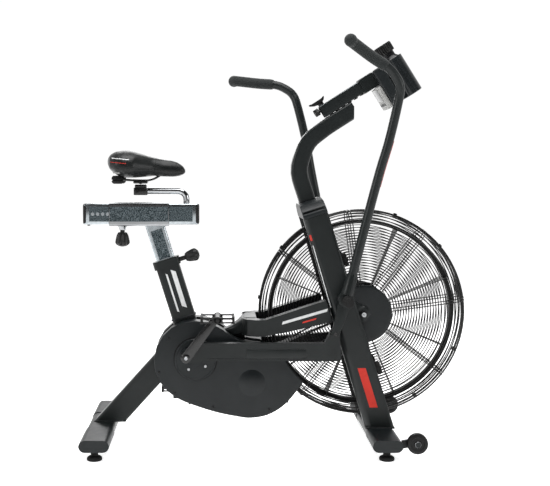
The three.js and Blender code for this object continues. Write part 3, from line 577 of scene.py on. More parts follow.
def long_corner(edge):
    """Whether an edge runs up a column along its outer face."""
    return edge.calc_length() > 0.1 and all(abs(v.co.y) > 117.5 * MM for v in edge.verts)


def slimmer(made):
    """Draws the rear side of a column piece forward by up to 10 mm towards the top."""
    for v in made.data.vertices:
        height = min(1, max(0, (height_up_column(v.co) - 0.4) / 0.38))
        behind = min(1, max(0, -across_column(v.co) / (50 * MM)))
        v.co += COLUMN_AHEAD * (10 * MM * height * behind)


def yoke_neck():
    """A smooth cast neck that widens from the spine into the yoke and closes its top."""
    bm = bmesh.new()
    sections = [
        (97, 24, 352, 388), (122, 30, 360, 400), (146, 40, 368, 418), (160, 56, 376, 431),
        (172, 70, 379, 436), (204, 80, 380, 436.5),
    ]
    rings = []
    for x, half, low, high in sections:
        ring = []
        for y, z in arc(0, 0, 1, 0, 350, 35):
            reach = (abs(y) ** 6 + abs(z) ** 6) ** (-1 / 6)
            height = (low + high) / 2 + z * reach * (high - low) / 2
            ring.append(Vector((frame_x(x), y * reach * half * MM, height * MM)))
        rings.append(ring)
    add_rings(bm, rings)
    piece("yoke_neck", bm, "frame_paint", "frame", sharp=60)


def column_marks(side_name, side):
    y = side * 118.1 * MM
    foot = up_column(0.075, y), up_column(0.215, y)
    stripe("leg_stripe_" + side_name, *foot, 26 * MM, RED, "frame", 4 * MM)
    corner_marks = ("flash", 0.672, 0.692, 10, RED), ("line", 0.44, 0.655, 4, WHITE)
    for name, start, end, width, look in corner_marks:
        place = up_column((start + end) / 2, side * 110.7 * MM, -38.7 * MM)
        turn = turn_y(-COLUMN_LEAN) @ Matrix.Rotation(math.radians(-45 * side), 4, "Z")
        bm = bmesh.new()
        add_block(bm, (0.5 * MM, width * MM, end - start), move(place) @ turn)
        slimmer(piece(f"column_{name}_{side_name}", bm, look, "frame"))
    start = Vector((frame_x(290), y, 424 * MM))
    end = Vector((frame_x(440), y, 468 * MM))
    stripe("fork_stripe_" + side_name, start, end, 9 * MM, WHITE, "frame", 3 * MM)
    drop = Vector((0, 0, -18 * MM))
    start, end = start.lerp(end, 0.45) + drop, start.lerp(end, 0.75) + drop
    stripe("fork_accent_" + side_name, start, end, 5 * MM, RED, "frame", 2 * MM)


def up_mast(s, y, across=0.0):
    """A point s up the seat mast from the crank, across forward of its centre line."""
    return Vector((CRANK.x, y, CRANK.z)) + MAST_UP * s + MAST_AHEAD * across


def mast_marks(side_name, side):
    y = side * 25.1 * MM
    marks = ("wide", 0.175, 0.305, 14, 15, 5), ("narrow", 0.165, 0.3, -11, 6, 2)
    for name, start, end, across, width, skew in marks:
        ends = up_mast(start, y, across * MM), up_mast(end, y, across * MM)
        stripe(f"mast_stripe_{name}_{side_name}", *ends, width * MM, WHITE, "frame", skew * MM)


def loop_round(bm, place, across, wide, wire, corner=0.25):
    """A bar bent round a rounded rectangle that lies square to place's Z."""
    points = []
    for x, y in arc(0, 0, 1, 0, 350, 35):
        reach = (abs(x) ** (2 / corner / 2) + abs(y) ** (2 / corner / 2)) ** (-corner)
        points.append(place @ Vector((x * reach * across / 2, y * reach * wide / 2, 0)))
    add_tube(bm, points, wire, 10, closed=True)


def mast_gasket():
    """A soft collar where the console mast enters the column head."""
    bm = bmesh.new()
    place = move(up_column(0.789, 0)) @ turn_y(-COLUMN_LEAN)
    loop_round(bm, place, 60 * MM, 66 * MM, 3.6 * MM)
    piece("mast_gasket", bm, "foot_rubber", "frame")


def mast_foot_ring():
    """A raised lip round the seat mast where it leaves the drive cover."""
    bm = bmesh.new()
    place = move(up_mast(0.14, 0)) @ turn_y(-SEAT_LEAN)
    loop_round(bm, place, 84 * MM, 54 * MM, 3 * MM)
    piece("mast_foot_ring", bm, "black_plastic", "frame")


def weld_beads():
    """Fillet welds where the leg and the columns stand on the stabilizers."""
    bm = bmesh.new()
    for node in ("rear_leg", "front_column_right", "front_column_left"):
        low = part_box(node)[0]
        foot = [v.co for v in NODES[node].data.vertices if v.co.z < low.z + 0.5 * MM]
        x0, x1 = min(v.x for v in foot), max(v.x for v in foot)
        y0, y1 = min(v.y for v in foot), max(v.y for v in foot)
        loop = []
        corners = [(x0, y0), (x1, y0), (x1, y1), (x0, y1)]
        for a, b in zip(corners, corners[1:] + corners[:1]):
            loop += [Vector((a[0] + (b[0] - a[0]) * t / 8, a[1] + (b[1] - a[1]) * t / 8, low.z + 0.8 * MM))
                     for t in range(8)]
        add_tube(bm, loop, 2.2 * MM, 10, closed=True)
    piece("foot_welds", bm, "frame_paint", "frame")


# ---- fan and cage ----
def cage_profile():
    """(radius, y) down one cage half, from the hub plate over the shoulder to the seam."""
    shoulder, rim, face = CAGE["shoulder"], CAGE["rim"], CAGE["face"]
    curve = [(shoulder + (rim - shoulder) * math.sin(math.radians(a)),
              32 * MM + (face - 32 * MM) * math.cos(math.radians(a))) for a in range(15, 91, 15)]
    return [(CAGE["hub"] - 6 * MM, face), (shoulder, face), *curve, (rim, 4 * MM)]


def on_fan(r, y, degrees):
    a = math.radians(degrees)
    return FAN + Vector((r * math.cos(a), y, r * math.sin(a)))


def hoop(bm, r, y, wire, count=96, sides=6):
    add_tube(bm, [on_fan(r, y, 360 * i / count) for i in range(count)], wire, sides, closed=True)


def fan_cage(side_name, side):
    bm = bmesh.new()
    face = CAGE["face"]
    rings = int((CAGE["shoulder"] - CAGE["hub"]) / CAGE["pitch"])
    for i in range(1, rings + 1):
        hoop(bm, CAGE["hub"] + i * CAGE["pitch"], side * (face - WIRE), WIRE * 0.8)
    for r, y in cage_profile()[2:-1]:
        hoop(bm, r - WIRE, side * (y - WIRE), WIRE)
    hoop(bm, CAGE["rim"] - 1.2 * MM, side * 4.4 * MM, 2.6 * MM, sides=10)
    for i in range(SPOKES):
        middle = SPOKE_START + 360 / SPOKES * i
        a = math.radians(middle)
        shift = Vector((-math.sin(a), 0, math.cos(a))) * 4.5 * MM
        for sign in (-1, 1):
            line = [on_fan(r, side * y, middle) + sign * shift for r, y in cage_profile()]
            add_tube(bm, line, WIRE * 0.9, 8)
    halves = ["cage_rim_" + side_name, "cage_face_" + side_name]
    piece("cage_wires_" + side_name, bm, "cage_paint", "frame", halves)
    r = CAGE["hub"] / MM
    profile = mm((12, -3), (r - 2, -3), (r, -1.6), (r, -0.6), (r - 1.5, 0.6), (r * 0.9, 1.2), (30, 1.2),
                 (12, 0.4))
    turned("hub_plate_" + side_name, profile, sideways(FAN + Vector((0, side * face, 0)), side),
           "black_plastic", "frame", slot="cage_paint", count=96, closed=True)


def cage_clips():
    bm = bmesh.new()
    for degrees in CLIP_ANGLES:
        ahead = math.cos(math.radians(degrees))
        room = (CAD_BOX[1][0] - FAN.x) / ahead - CAGE["rim"] - 1.5 * MM if ahead > 0 else 1
        out = min(6 * MM, room)
        centre = on_fan(CAGE["rim"] + out / 2 - 4 * MM, 0, degrees)
        add_block(bm, (8 * MM + out, 17 * MM, 12 * MM), move(centre) @ turn_y(-degrees), 1.2 * MM)
    piece("cage_clips", bm, "cage_paint", "frame")

def cage_clamps():
    """Three discs in a row on each column, above and below the fan axle, where the cage is clamped."""
    clamps = bmesh.new()
    axle = height_up_column(FAN)
    for side in SIDES.values():
        for share in CLAMP_SHARES:
            for along, r in ((-14, 9), (0, 11), (14, 9)):
                s = axle + share * CAGE["rim"] + along * MM
                spot = up_column(s, side * (CAGE["face"] - 1 * MM), 58 * MM)
                profile = mm((0, -6), (r, -6), (r, 5), (r - 2, 7), (0, 7))
                add_lathe(clamps, profile, sideways(spot, side), 28)
    piece("cage_clamps", clamps, "fan_paint", "frame", slot="cage_paint")


def fan_wheel():
    low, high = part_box("fan_rim")
    outer = (high.x - low.x) / 2 / MM
    rim = mirrored((outer - 13, -12), (outer - 3, -18), (outer - 0.6, -18), (outer, -16))
    turned("fan_rim_finished", rim, sideways(FAN, 1), "fan_paint", "fan", ["fan_rim"], count=120,
           closed=True)
    near, far = (edge.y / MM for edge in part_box("fan_wheel"))
    bm = bmesh.new()
    hub = mm((9, -16), (40, -16), (46, -11), (46, 11), (40, 16), (20, 16), (20, far), (9, far))
    add_lathe(bm, hub, sideways(FAN, 1), 64, closed=True)
    for i in range(PADDLES):
        add_paddle(bm, move(FAN) @ turn_y(-180 / PADDLES * (2 * i + 1)), outer - 5, -near)
    piece("fan_wheel_finished", bm, "fan_paint", "fan", ["fan_wheel"])


def add_paddle(bm, place, reach, half, inner=42):
    """A flat blade with three stiffening ribs; its sizes are in millimetres."""
    outline = mm((inner, -14), (inner, 14), (reach - 60, half * 0.6), (reach - 10, half), (reach, half),
                 (reach, -half), (reach - 10, -half), (reach - 60, -half * 0.6))
    add_rings(bm, [[place @ Vector((x, y, z)) for x, y in outline] for z in (-0.8 * MM, 0.8 * MM)])
    for x in (inner + 60, reach - 66, reach - 4):
        add_block(bm, (5 * MM, 26 * MM, 1.6 * MM), place @ move((x * MM, 0, 1.4 * MM)), 0.5 * MM)


def axle_hardware():
    bm = bmesh.new()
    for side in SIDES.values():
        nut = FAN + Vector((0, side * 79 * MM, 0))
        profile = mm((0, 0), (13, 0), (13, 1.6), (0, 1.6))
        add_lathe(bm, profile, sideways(nut, side), 32)
        add_lathe(bm, mm((0, 1.6), (11, 1.6), (11, 8), (9.5, 9), (0, 9)), sideways(nut, side), 6)
    piece("axle_nuts", bm, "knob_plastic", "frame", slot="plain_steel")
    ends = [(FAN + Vector((0, side * 88 * MM, 0)), side) for side in SIDES.values()]
    bolts("axle_ends", ends, "frame", 4.5 * MM)
    refine("fan_axle", 0.6)


def fan():
    for side_name, side in SIDES.items():
        fan_cage(side_name, side)
    cage_clips()
    cage_clamps()
    fan_wheel()
    axle_hardware()


# ---- housing, crank, pedals, link arms ----
def housing(side_name, side):
    """The drive cover, with its outer edge rounded over, and what is fixed to it."""
    node = "housing_" + side_name
    bm = merged(node)
    outer = 75.5 * MM
    rims = [e for e in bm.edges if all(abs(v.co.y) > outer for v in e.verts) and e.calc_face_angle(0) > 1
            and (e.verts[0].co - CRANK).xz.length > 30 * MM]
    bmesh.ops.bevel(bm, geom=rims, offset=9 * MM, segments=5, affect="EDGES", profile=0.5,
                    clamp_overlap=True)
    made = piece(node + "_finished", bm, "black_plastic", "frame", [node], sharp=50)
    drop_cad_normals(made)
    housing_bulge(side_name, side)
    low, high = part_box(node)
    size = high - low
    tabs = bmesh.new()
    for share, wide in HOUSING_TABS:
        start = Vector((low.x + share * size.x, side * 50 * MM, 0))
        under = made.ray_cast(start, Vector((0, 0, 1)))[1]
        add_block(tabs, (wide * MM, 26 * MM, 14 * MM), move(under), 3 * MM)
    piece("housing_tabs_" + side_name, tabs, "black_plastic", "frame")
    places = [(Vector((low.x + x * size.x, side * 75 * MM, low.z + z * size.z)), side)
              for x, z in HOUSING_SCREWS]
    bolts("housing_screws_" + side_name, places, "frame", 4 * MM, "knob_plastic")


def housing_bulge(side_name, side):
    """A shallow round bulge over the jackshaft."""
    profile = mm((0, -1), (47, -1), (47, -0.4), (44, 0.6), (38, 2.8), (30, 5.6), (20, 7.8), (10, 8.8),
                 (0, 9))
    place = sideways(JACK + Vector((0, side * 76 * MM, 0)), side)
    turned("housing_bulge_" + side_name, profile, place, "black_plastic", "frame", count=64)


def crank_disc(side_name, side):
    node = "crank_disc_" + side_name
    pin = joint_at(side_name + "_link_swing")
    inner, outer, r = 78.3, 90, 71  # mm
    bm = bmesh.new()
    disc = mm((0, inner), (r, inner), (r, outer - 2), (r - 2, outer), (r - 6, outer), (r - 7, outer - 1),
              (24, outer - 1), (23, outer), (0, outer))
    add_lathe(bm, disc, sideways(Vector((CRANK.x, 0, CRANK.z)), side), 96)
    boss = mm((0, outer - 2), (20, outer - 2), (20, 119), (18.5, 120.5), (13, 120.5), (13, 149.5), (0, 149.5))
    add_lathe(bm, boss, sideways(Vector((pin.x, 0, pin.z)), side), 40)
    piece(node + "_finished", bm, "black_plastic", "crank", [node])
    away = math.atan2(CRANK.z - pin.z, CRANK.x - pin.x)
    spots = []
    for turn in (0, -92):
        a = away + math.radians(turn)
        out = Vector((math.cos(a), 0, math.sin(a))) * 40 * MM
        spots.append((Vector((CRANK.x, side * (outer - 1) * MM, CRANK.z)) + out, side))
    bolts("disc_screws_" + side_name, spots, "crank", 4.6 * MM)
    # A flat black ring laid on the cover round the disc's edge: painted shade where the gap round the disc
    # falls dark, not a cut groove.
    dark = Vector((CRANK.x, side * 76.2 * MM, CRANK.z))
    thin_band = mm((r, -1), (r + 3.4, -1), (r + 3.4, 0.2), (r, 0.2))
    turned("disc_gap_shade_" + side_name, thin_band, sideways(dark, side), "foot_rubber", "frame", count=96,
           closed=True)


def crank_arm(side_name, side):
    """A tapered arm with a raised edge line, its pin bolt and its pedal axle."""
    node = "crank_arm_" + side_name
    pin, end = joint_at(side_name + "_link_swing"), joint_at(side_name + "_pedal_spin")
    span = (end - pin).xz
    turn = turn_y(-math.degrees(math.atan2(span.y, span.x)))
    place = move((pin.x, 0, pin.z)) @ turn
    reach = span.length
    near, far = 150, 168  # mm from the middle
    bm = bmesh.new()
    shape = arc(0, 0, 17 * MM, 95, 265) + arc(reach, 0, 13 * MM, -85, 85)
    add_plate(bm, shape, side * near * MM, side * far * MM, place, 2.6 * MM)
    axle = mm((0, near + 2), (6, near + 2), (6, 256), (5, 258), (0, 258))
    add_lathe(bm, axle, sideways(Vector((end.x, 0, end.z)), side), 24)
    piece(node + "_finished", bm, "crank_metal", "crank", [node])
    trim = bmesh.new()
    for z0, z1 in ((14.5, 10.5), (-14.5, -10.5)):
        ends = (6 * MM, z0), (reach - 6 * MM, z1)
        a, b = (place @ Vector((x, side * (far - 1.2) * MM, z * MM)) for x, z in ends)
        add_tube(trim, [a.lerp(b, i / 6) for i in range(7)], 1 * MM, 10)
    piece("crank_edge_" + side_name, trim, "plain_steel", "crank")
    turned("crank_boss_" + side_name, mm((7, 0), (14, 0), (14, 1.6), (12.6, 2.6), (7, 2.6)),
           sideways(Vector((pin.x, side * (far - 0.4) * MM, pin.z)), side), "crank_metal", "crank",
           count=48, closed=True)
    bolts("crank_bolt_" + side_name, [(Vector((pin.x, side * far * MM, pin.z)), side)], "crank", 6 * MM)


def pedal(side_name, side):
    """A cage pedal: toothed plates front and rear, two bars, and a barrel round the axle."""
    node = "pedal_" + side_name
    low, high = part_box(node)
    centre = (low + high) / 2
    size = high - low
    bm = bmesh.new()
    for sign in (-1, 1):
        x = centre.x + sign * (size.x / 2 - 4 * MM)
        for z in (-7 * MM, 7 * MM):
            spot = move((x, centre.y, centre.z + z))
            add_block(bm, (8 * MM, size.y - 4 * MM, 6 * MM), spot, 1.5 * MM)
            rod = move((centre.x, centre.y + sign * (size.y / 2 - 5 * MM), centre.z + z))
            add_block(bm, (size.x - 6 * MM, 5 * MM, 5.4 * MM), rod, 1.5 * MM)
        for i in range(6):
            y = low.y + size.y * (i + 0.5) / 6
            add_block(bm, (8 * MM, 7 * MM, size.z - 1 * MM), move((x, y, centre.z)), 1.5 * MM)
        y = centre.y + sign * (size.y / 2 - 5 * MM)
        add_block(bm, (34 * MM, 6 * MM, 20 * MM), move((centre.x, y, centre.z)), 3 * MM)
    half = size.y / 2 / MM
    barrel = mm((6.6, -half + 2), (11, -half + 2), (12.4, -half + 5), (10, 0), (12.4, half - 5),
                (11, half - 2), (6.6, half - 2))
    add_lathe(bm, barrel, sideways(centre, side), 40, closed=True)
    piece(node + "_finished", bm, "knob_plastic", side_name + "_pedal", [node])


def link_arm(side_name, side):
    node = "link_arm_" + side_name
    refine(node, 2.0, 3, 40)
    pin = joint_at(side_name + "_link_swing")
    lean = 0.0 if side < 0 else link_lean_left(pin)
    place = move((pin.x, 0, pin.z)) @ turn_y(-lean)
    face = 146 * MM
    panel = bmesh.new()
    outline = [(0.2, -0.005), (0.385, -0.005), (0.4, 0.004), (0.4, 0.02), (0.392, 0.026), (0.2, 0.026)]
    add_plate(panel, outline, side * (face - 0.6 * MM), side * (face + 1.4 * MM), place, 1.2 * MM)
    piece("link_panel_" + side_name, panel, "moving_paint", side_name + "_link")
    thin_band = bmesh.new()
    a, b = (place @ Vector((x, side * (face + 0.3 * MM), -0.006)) for x in (0.07, 0.4))
    add_tube(thin_band, [a.lerp(b, i / 12) for i in range(13)], 0.9 * MM, 8)
    piece("link_rib_" + side_name, thin_band, "moving_paint", side_name + "_link")


def link_lean_left(pin):
    """Degrees that the left link arm leans against the right one, from the two lever bolts."""
    def tilt(name, swing):
        eye = joint_at(name + "_link_swing")
        down = math.radians(270 - LEVER_LEAN + swing)
        pivot = joint_at(name + "_handle_swing")
        end = pivot + Vector((LEVER_LENGTH * math.cos(down), 0, LEVER_LENGTH * math.sin(down)))
        return math.degrees(math.atan2(end.z - eye.z, end.x - eye.x))

    return tilt("left", HANDLE_SWING) - tilt("right", 0)


def crankset():
    for side_name, side in SIDES.items():
        housing(side_name, side)
        crank_disc(side_name, side)
        crank_arm(side_name, side)
        pedal(side_name, side)
        link_arm(side_name, side)


# ---- handles ----
def handle(side_name, side):
    pivot = joint_at(side_name + "_handle_swing")
    swing = turn_y(-HANDLE_SWING if side > 0 else 0)
    place = move((pivot.x, 0, pivot.z)) @ swing
    line = [place @ Vector((x * MM, side * y * MM, z * MM)) for x, y, z in HANDLE_LINE]
    line = smooth_line(line, 12)
    body = side_name + "_handle"
    bm = bmesh.new()
    add_tube(bm, stretch_of(line, 0, 0.96), 15 * MM, 28)
    hub = mm((14.5, -16), (25.5, -16), (27, -14), (27, 14), (25.5, 16), (14.5, 16))
    centre = Vector((pivot.x, side * 165 * MM, pivot.z))
    add_lathe(bm, hub, sideways(centre, side), 48, closed=True)
    cone = mm((0, 14), (22, 17), (22, 20), (17.4, 84), (16, 87), (0, 87))
    add_lathe(bm, cone, place @ move((0, side * 165 * MM, 0)) @ turn_y(13), 40)
    lever = arc(0, 0, 22 * MM, -20, 200) + arc(0, -LEVER_LENGTH, 14 * MM, 200, 340)
    add_plate(bm, lever, side * 149 * MM, side * 161 * MM, place @ turn_y(LEVER_LEAN), 2.5 * MM)
    node = "handle_" + side_name
    piece(node + "_finished", bm, "moving_paint", body, [node])
    end = place @ turn_y(LEVER_LEAN) @ Vector((0, side * 161 * MM, -LEVER_LENGTH))
    bolts("lever_bolt_" + side_name, [(end, side)], body, 6 * MM, "crank_metal", "plain_steel")
    grip(side_name, side, line, swing, body)
    pinstripe(side_name, side, line, body)


def grip(side_name, side, line, swing, body):
    """A foam sleeve whose end turns outward into a round knob."""
    path = stretch_of(line, GRIP_FROM, 1)
    knob = line[-1] + swing.to_3x3() @ Vector((-9 * MM, side * 16 * MM, 5 * MM))
    path += [line[-1].lerp(knob, t) for t in (0.35, 0.7, 1)]
    along = (knob - line[-1]).normalized()
    r = 20.5 * MM
    steps = [15, 30, 45, 60, 75, 88]
    tip = [knob + along * (r * 0.98 * math.sin(math.radians(a))) for a in steps]
    radii = [18.5 * MM] * (len(path) - 3) + [19.2 * MM, 20 * MM, r]
    radii = [16.5 * MM, 18 * MM] + radii[2:] + [r * math.cos(math.radians(a)) for a in steps]
    bm = bmesh.new()
    add_tube(bm, path + tip, radii, 28)
    node = "grip_" + side_name
    piece(node + "_finished", bm, "grip_rubber", body, [node])


def pinstripe(side_name, side, line, body):
    """A thin line down the front of the handle's straight stretch."""
    bm = bmesh.new()
    straight = stretch_of(line, 0.36, 0.56)
    front = [p + Vector((14.6 * MM, side * 2 * MM, -3 * MM)) for p in straight]
    add_tube(bm, front, 1.1 * MM, 8)
    piece("handle_pinstripe_" + side_name, bm, RED, body)


def foot_peg(side_name, side):
    node = "foot_peg_" + side_name
    pivot = joint_at(side_name + "_handle_swing")
    r = 15.5
    profile = [(0, 118.6), (14, 118.6), (14, 183), (r, 183.5)]
    for y in range(190, 247, 7):
        profile += [(r, y - 2), (r - 0.9, y - 1), (r - 0.9, y + 1), (r, y + 2)]
    profile += [(r, 253), (r - 1.6, 254.8), (0, 254.8)]
    place = sideways(Vector((pivot.x, 0, pivot.z)), side)
    turned(node + "_finished", mm(*profile), place, "foot_rubber", "frame", [node], count=48)


def arms():
    for side_name, side in SIDES.items():
        handle(side_name, side)
        foot_peg(side_name, side)


# ---- seat ----
def fluted_knob(node, matrix, r, stem, length, body):
    """A pull knob: a slim neck, then a fluted grip that widens to a blunt point. Sizes in millimetres."""
    bm = bmesh.new()
    head = mm((r * 0.5, stem), (r * 0.62, stem + 2), (r * 0.8, stem + 10), (r * 0.98, length - 20),
              (r, length - 13), (r * 0.82, length - 7), (r * 0.45, length - 1.5), (0, length))
    add_lathe(bm, head, matrix, 72, lobes=6, depth=0.24)
    add_lathe(bm, mm((0, 0), (8, 0), (8, stem + 2), (0, stem + 2)), matrix, 32)
    piece(node + "_finished", bm, "knob_plastic", body, [node])


def side_panels(name, start, end, y, height, body):
    """Dark spangled panels on both sides of a bright zinc bar, from start to end along its middle."""
    bm = bmesh.new()
    along = (end - start).normalized()
    up = Vector((-along.z, 0, along.x)) * height / 2
    for side in SIDES.values():
        corners = [start - up, end - up, end + up, start + up]
        skins = [[c + Vector((0, side * (y + lift * MM), 0)) for c in corners] for lift in (-0.1, 0.25)]
        add_rings(bm, skins)
    piece(name, bm, SPANGLE, body, slot="zinc_plate")


def slider():
    low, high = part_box("slider_rail")
    centre = (low + high) / 2
    size = high - low
    bm = bmesh.new()
    add_block(bm, (size.x - 6 * MM, size.y, size.z), move(centre), 5 * MM)
    piece("slider_rail_finished", bm, "zinc_plate", "seat_slider", ["slider_rail"])
    rail_ends(low, high)
    inset = Vector((22 * MM, 0, 0))
    level = Vector((0, 0, centre.z))
    ends = Vector((low.x, 0, 0)) + inset + level, Vector((high.x, 0, 0)) - inset + level
    side_panels("rail_panels", *ends, size.y / 2, 50 * MM, "seat_slider")
    refine("slider_sleeve", 1.5, 3, 60)
    sleeve_low, sleeve_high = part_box("slider_sleeve")
    inset = Vector((2.5 * MM, 0, 0))
    side_panels("sleeve_panels", Vector((sleeve_low.x, 0, 0)) + inset + level,
                Vector((sleeve_high.x, 0, 0)) - inset + level, sleeve_high.y, 50 * MM, "seat_post")
    trims = bmesh.new()
    for x in (sleeve_low.x + 1 * MM, sleeve_high.x - 1 * MM):
        place = move((x, 0, centre.z)) @ Matrix.Rotation(math.radians(90), 4, "Y")
        loop_round(trims, place, 80 * MM, 69 * MM, 0.9 * MM, 0.08)
    piece("sleeve_trims", trims, "knob_plastic", "seat_post")


def rail_ends(low, high):
    centre, size = (low + high) / 2, high - low
    caps = bmesh.new()
    deep = 17 * MM
    for x in (low.x + deep / 2, high.x - deep / 2):
        place = move((x, centre.y, centre.z))
        add_block(caps, (deep, size.y + 0.8 * MM, size.z + 0.8 * MM), place, 8 * MM, 5)
    piece("slider_end_caps", caps, "knob_plastic", "seat_slider")
    eyelets = bmesh.new()
    for side in SIDES.values():
        for i in range(4):
            spot = Vector((low.x + (34 + 17 * i) * MM, side * (high.y + 0.2 * MM), centre.z))
            add_lathe(eyelets, mm((0, -0.3), (6, -0.3), (6, 0.2), (0, 0.2)),
                      sideways(spot, side), 32)
    piece("rail_plugs", eyelets, "zinc_plate", "seat_slider")
    place = move((low.x + 17 * MM, 0, low.z)) @ Matrix.Rotation(math.pi, 4, "X")
    turned("rail_stop_screw", mm((0, -1), (5, -1), (5, 5), (0, 6)), place, "knob_plastic", "seat_slider",
           count=24)


def stem():
    low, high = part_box("seat_stem")
    r = 11 * MM
    top, foot = high.z - r, high.x - r
    points = [
        (low.x, top), (foot - 45 * MM, top), (foot - 18 * MM, top - 3 * MM), (foot - 4 * MM, top - 14 * MM),
        (foot, low.z + 14 * MM), (foot, low.z),
    ]
    bm = bmesh.new()
    add_tube(bm, smooth_line([Vector((x, 0, z)) for x, z in points], 10), r, 32)
    piece("seat_stem_finished", bm, "chrome_plate", "seat_slider", ["seat_stem"])


def clamp_and_rails():
    """A two-part cradle on the stem, a cross bolt, and the bent wire rails that it grips."""
    x, stem_z, top = frame_x(-187), 861 * MM, 897 * MM
    bm = bmesh.new()
    blocks = (47, 26, stem_z - 1 * MM, 44), (40, 12, stem_z + 16 * MM, 34), (48, 9, 891 * MM, 56)
    for wide, tall, z, across in blocks:
        place = move((x, 0, z))
        add_block(bm, (wide * MM, across * MM, tall * MM), place, 3 * MM)
    half = [
        (-268, 42, 902.5), (-240, 30, 899), (-205, 22, 897), (-165, 22, 897), (-140, 18, 903),
        (-115, 11, 918), (-100, 7, 926),
    ]
    for side in SIDES.values():
        line = [Vector((frame_x(x_mm), side * y * MM, z * MM)) for x_mm, y, z in half]
        add_tube(bm, smooth_line(line, 8), 3.5 * MM, 16)
    piece("saddle_clamp_finished", bm, "crank_metal", "seat_slider", ["saddle_clamp"])
    spots = [(Vector((x, side * 28 * MM, top - 7 * MM)), side) for side in SIDES.values()]
    spots += [(Vector((x - 12 * MM, side * 22 * MM, stem_z)), side) for side in SIDES.values()]
    bolts("clamp_bolts", spots, "seat_slider", 5.5 * MM, "knob_plastic")
    bumpers = bmesh.new()
    for side in SIDES.values():
        place = move((frame_x(-262), side * 42 * MM, 886 * MM))
        profile = mm((0, 0), (14, 0), (19, 4), (21, 9), (17, 12), (21, 15), (20, 22), (16, 27), (0, 27))
        add_lathe(bumpers, profile, place, 40)
    piece("saddle_bumpers", bumpers, "foot_rubber", "seat_slider")


def inflate(cover, cap):
    """Lets cloth pressure crown the cover, and holds each point within cap of where it started."""
    start = [v.co.copy() for v in cover.data.vertices]
    cloth = cover.modifiers.new("cloth", "CLOTH")
    cloth.settings.uniform_pressure_force = 4
    cloth.settings.use_pressure = True
    cloth.settings.effector_weights.gravity = 0
    cloth.settings.tension_stiffness = 15
    cloth.point_cache.frame_start, cloth.point_cache.frame_end = 1, 20
    for step in range(1, 21):
        bpy.context.scene.frame_set(step)
    grown = cover.evaluated_get(bpy.context.evaluated_depsgraph_get()).to_mesh()
    moved = [v.co.copy() for v in grown.vertices]
    cover.modifiers.remove(cloth)
    for v, a, b in zip(cover.data.vertices, start, moved):
        shift = b - a
        v.co = a + shift * min(1.0, cap / max(shift.length, 1e-9))
    bpy.context.scene.frame_set(1)


# Printed lines on the saddle: height, start and end as shares of its size, thickness and ink.
SADDLE_LINES = {"line": (0.7, 0.09, 0.3, 1.5 * MM, WHITE), "accent": (0.56, 0.07, 0.27, 0.9 * MM, RED)}
# Shares of the saddle's length from the rear, of its height (underside, top) and of its half width.
SADDLE_SHAPE = [
    (0, 0.45, 0.73, 0.32), (0.036, 0.25, 0.86, 0.71), (0.12, 0.08, 0.98, 0.93), (0.22, 0.01, 1, 1),
    (0.34, 0.01, 0.946, 0.91), (0.46, 0.04, 0.826, 0.71), (0.58, 0.076, 0.7, 0.49),
    (0.7, 0.054, 0.62, 0.355), (0.82, 0.04, 0.575, 0.29), (0.91, 0.054, 0.51, 0.23),
    (0.97, 0.087, 0.41, 0.17), (1, 0.14, 0.28, 0.075),
]


def saddle_rings(low, high, around=40):
    """Cross-sections with full sides, a crowned top and a flatter underside."""
    rings = []
    for share, under, top, half in SADDLE_SHAPE:
        x = low.x + (high.x - low.x) * share
        base, crest = (low.z + (high.z - low.z) * h for h in (under, top))
        middle = base + (crest - base) * 0.38
        ring = []
        for y, z in arc(0, 0, 1, 0, 360 - 360 / around, around - 1):
            y = math.copysign(abs(y) ** 0.82, y) * half * high.y
            z = abs(z) ** 0.86 * (crest - middle) if z > 0 else -abs(z) ** 0.7 * (middle - base)
            ring.append(Vector((x, y, middle + z)))
        rings.append(ring)
    return rings


def saddle():
    low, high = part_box("saddle")
    middle = (low + high) / 2
    bm = bmesh.new()
    rings = saddle_rings(low, high)
    add_rings(bm, [[middle + (p - middle) * 0.975 for p in ring] for ring in rings])
    cover = piece("saddle_cover", bm, "saddle_vinyl", "seat_slider", ["saddle"], sharp=180)
    even = cover.modifiers.new("even", "REMESH")
    even.mode = "VOXEL"
    even.voxel_size = 5 * MM
    shaped = cover.evaluated_get(bpy.context.evaluated_depsgraph_get())
    cover.data = bpy.data.meshes.new_from_object(shaped)
    cover.modifiers.clear()
    inflate(cover, 4 * MM)
    cover.data.shade_smooth()
    softened = cover.modifiers.new("softened", "SMOOTH")
    softened.factor, softened.iterations = 0.5, 6
    final = cover.modifiers.new("final", "SUBSURF")
    final.levels = final.render_levels = 1
    saddle_trim(cover, low, high)


def on_cover(cover, start, towards):
    """The point on the finished cover met from start, a little off its skin."""
    shown = cover.evaluated_get(bpy.context.evaluated_depsgraph_get())
    hit, where, normal, _ = shown.ray_cast(start, (towards - start).normalized())
    return where + normal * 0.3 * MM if hit else None


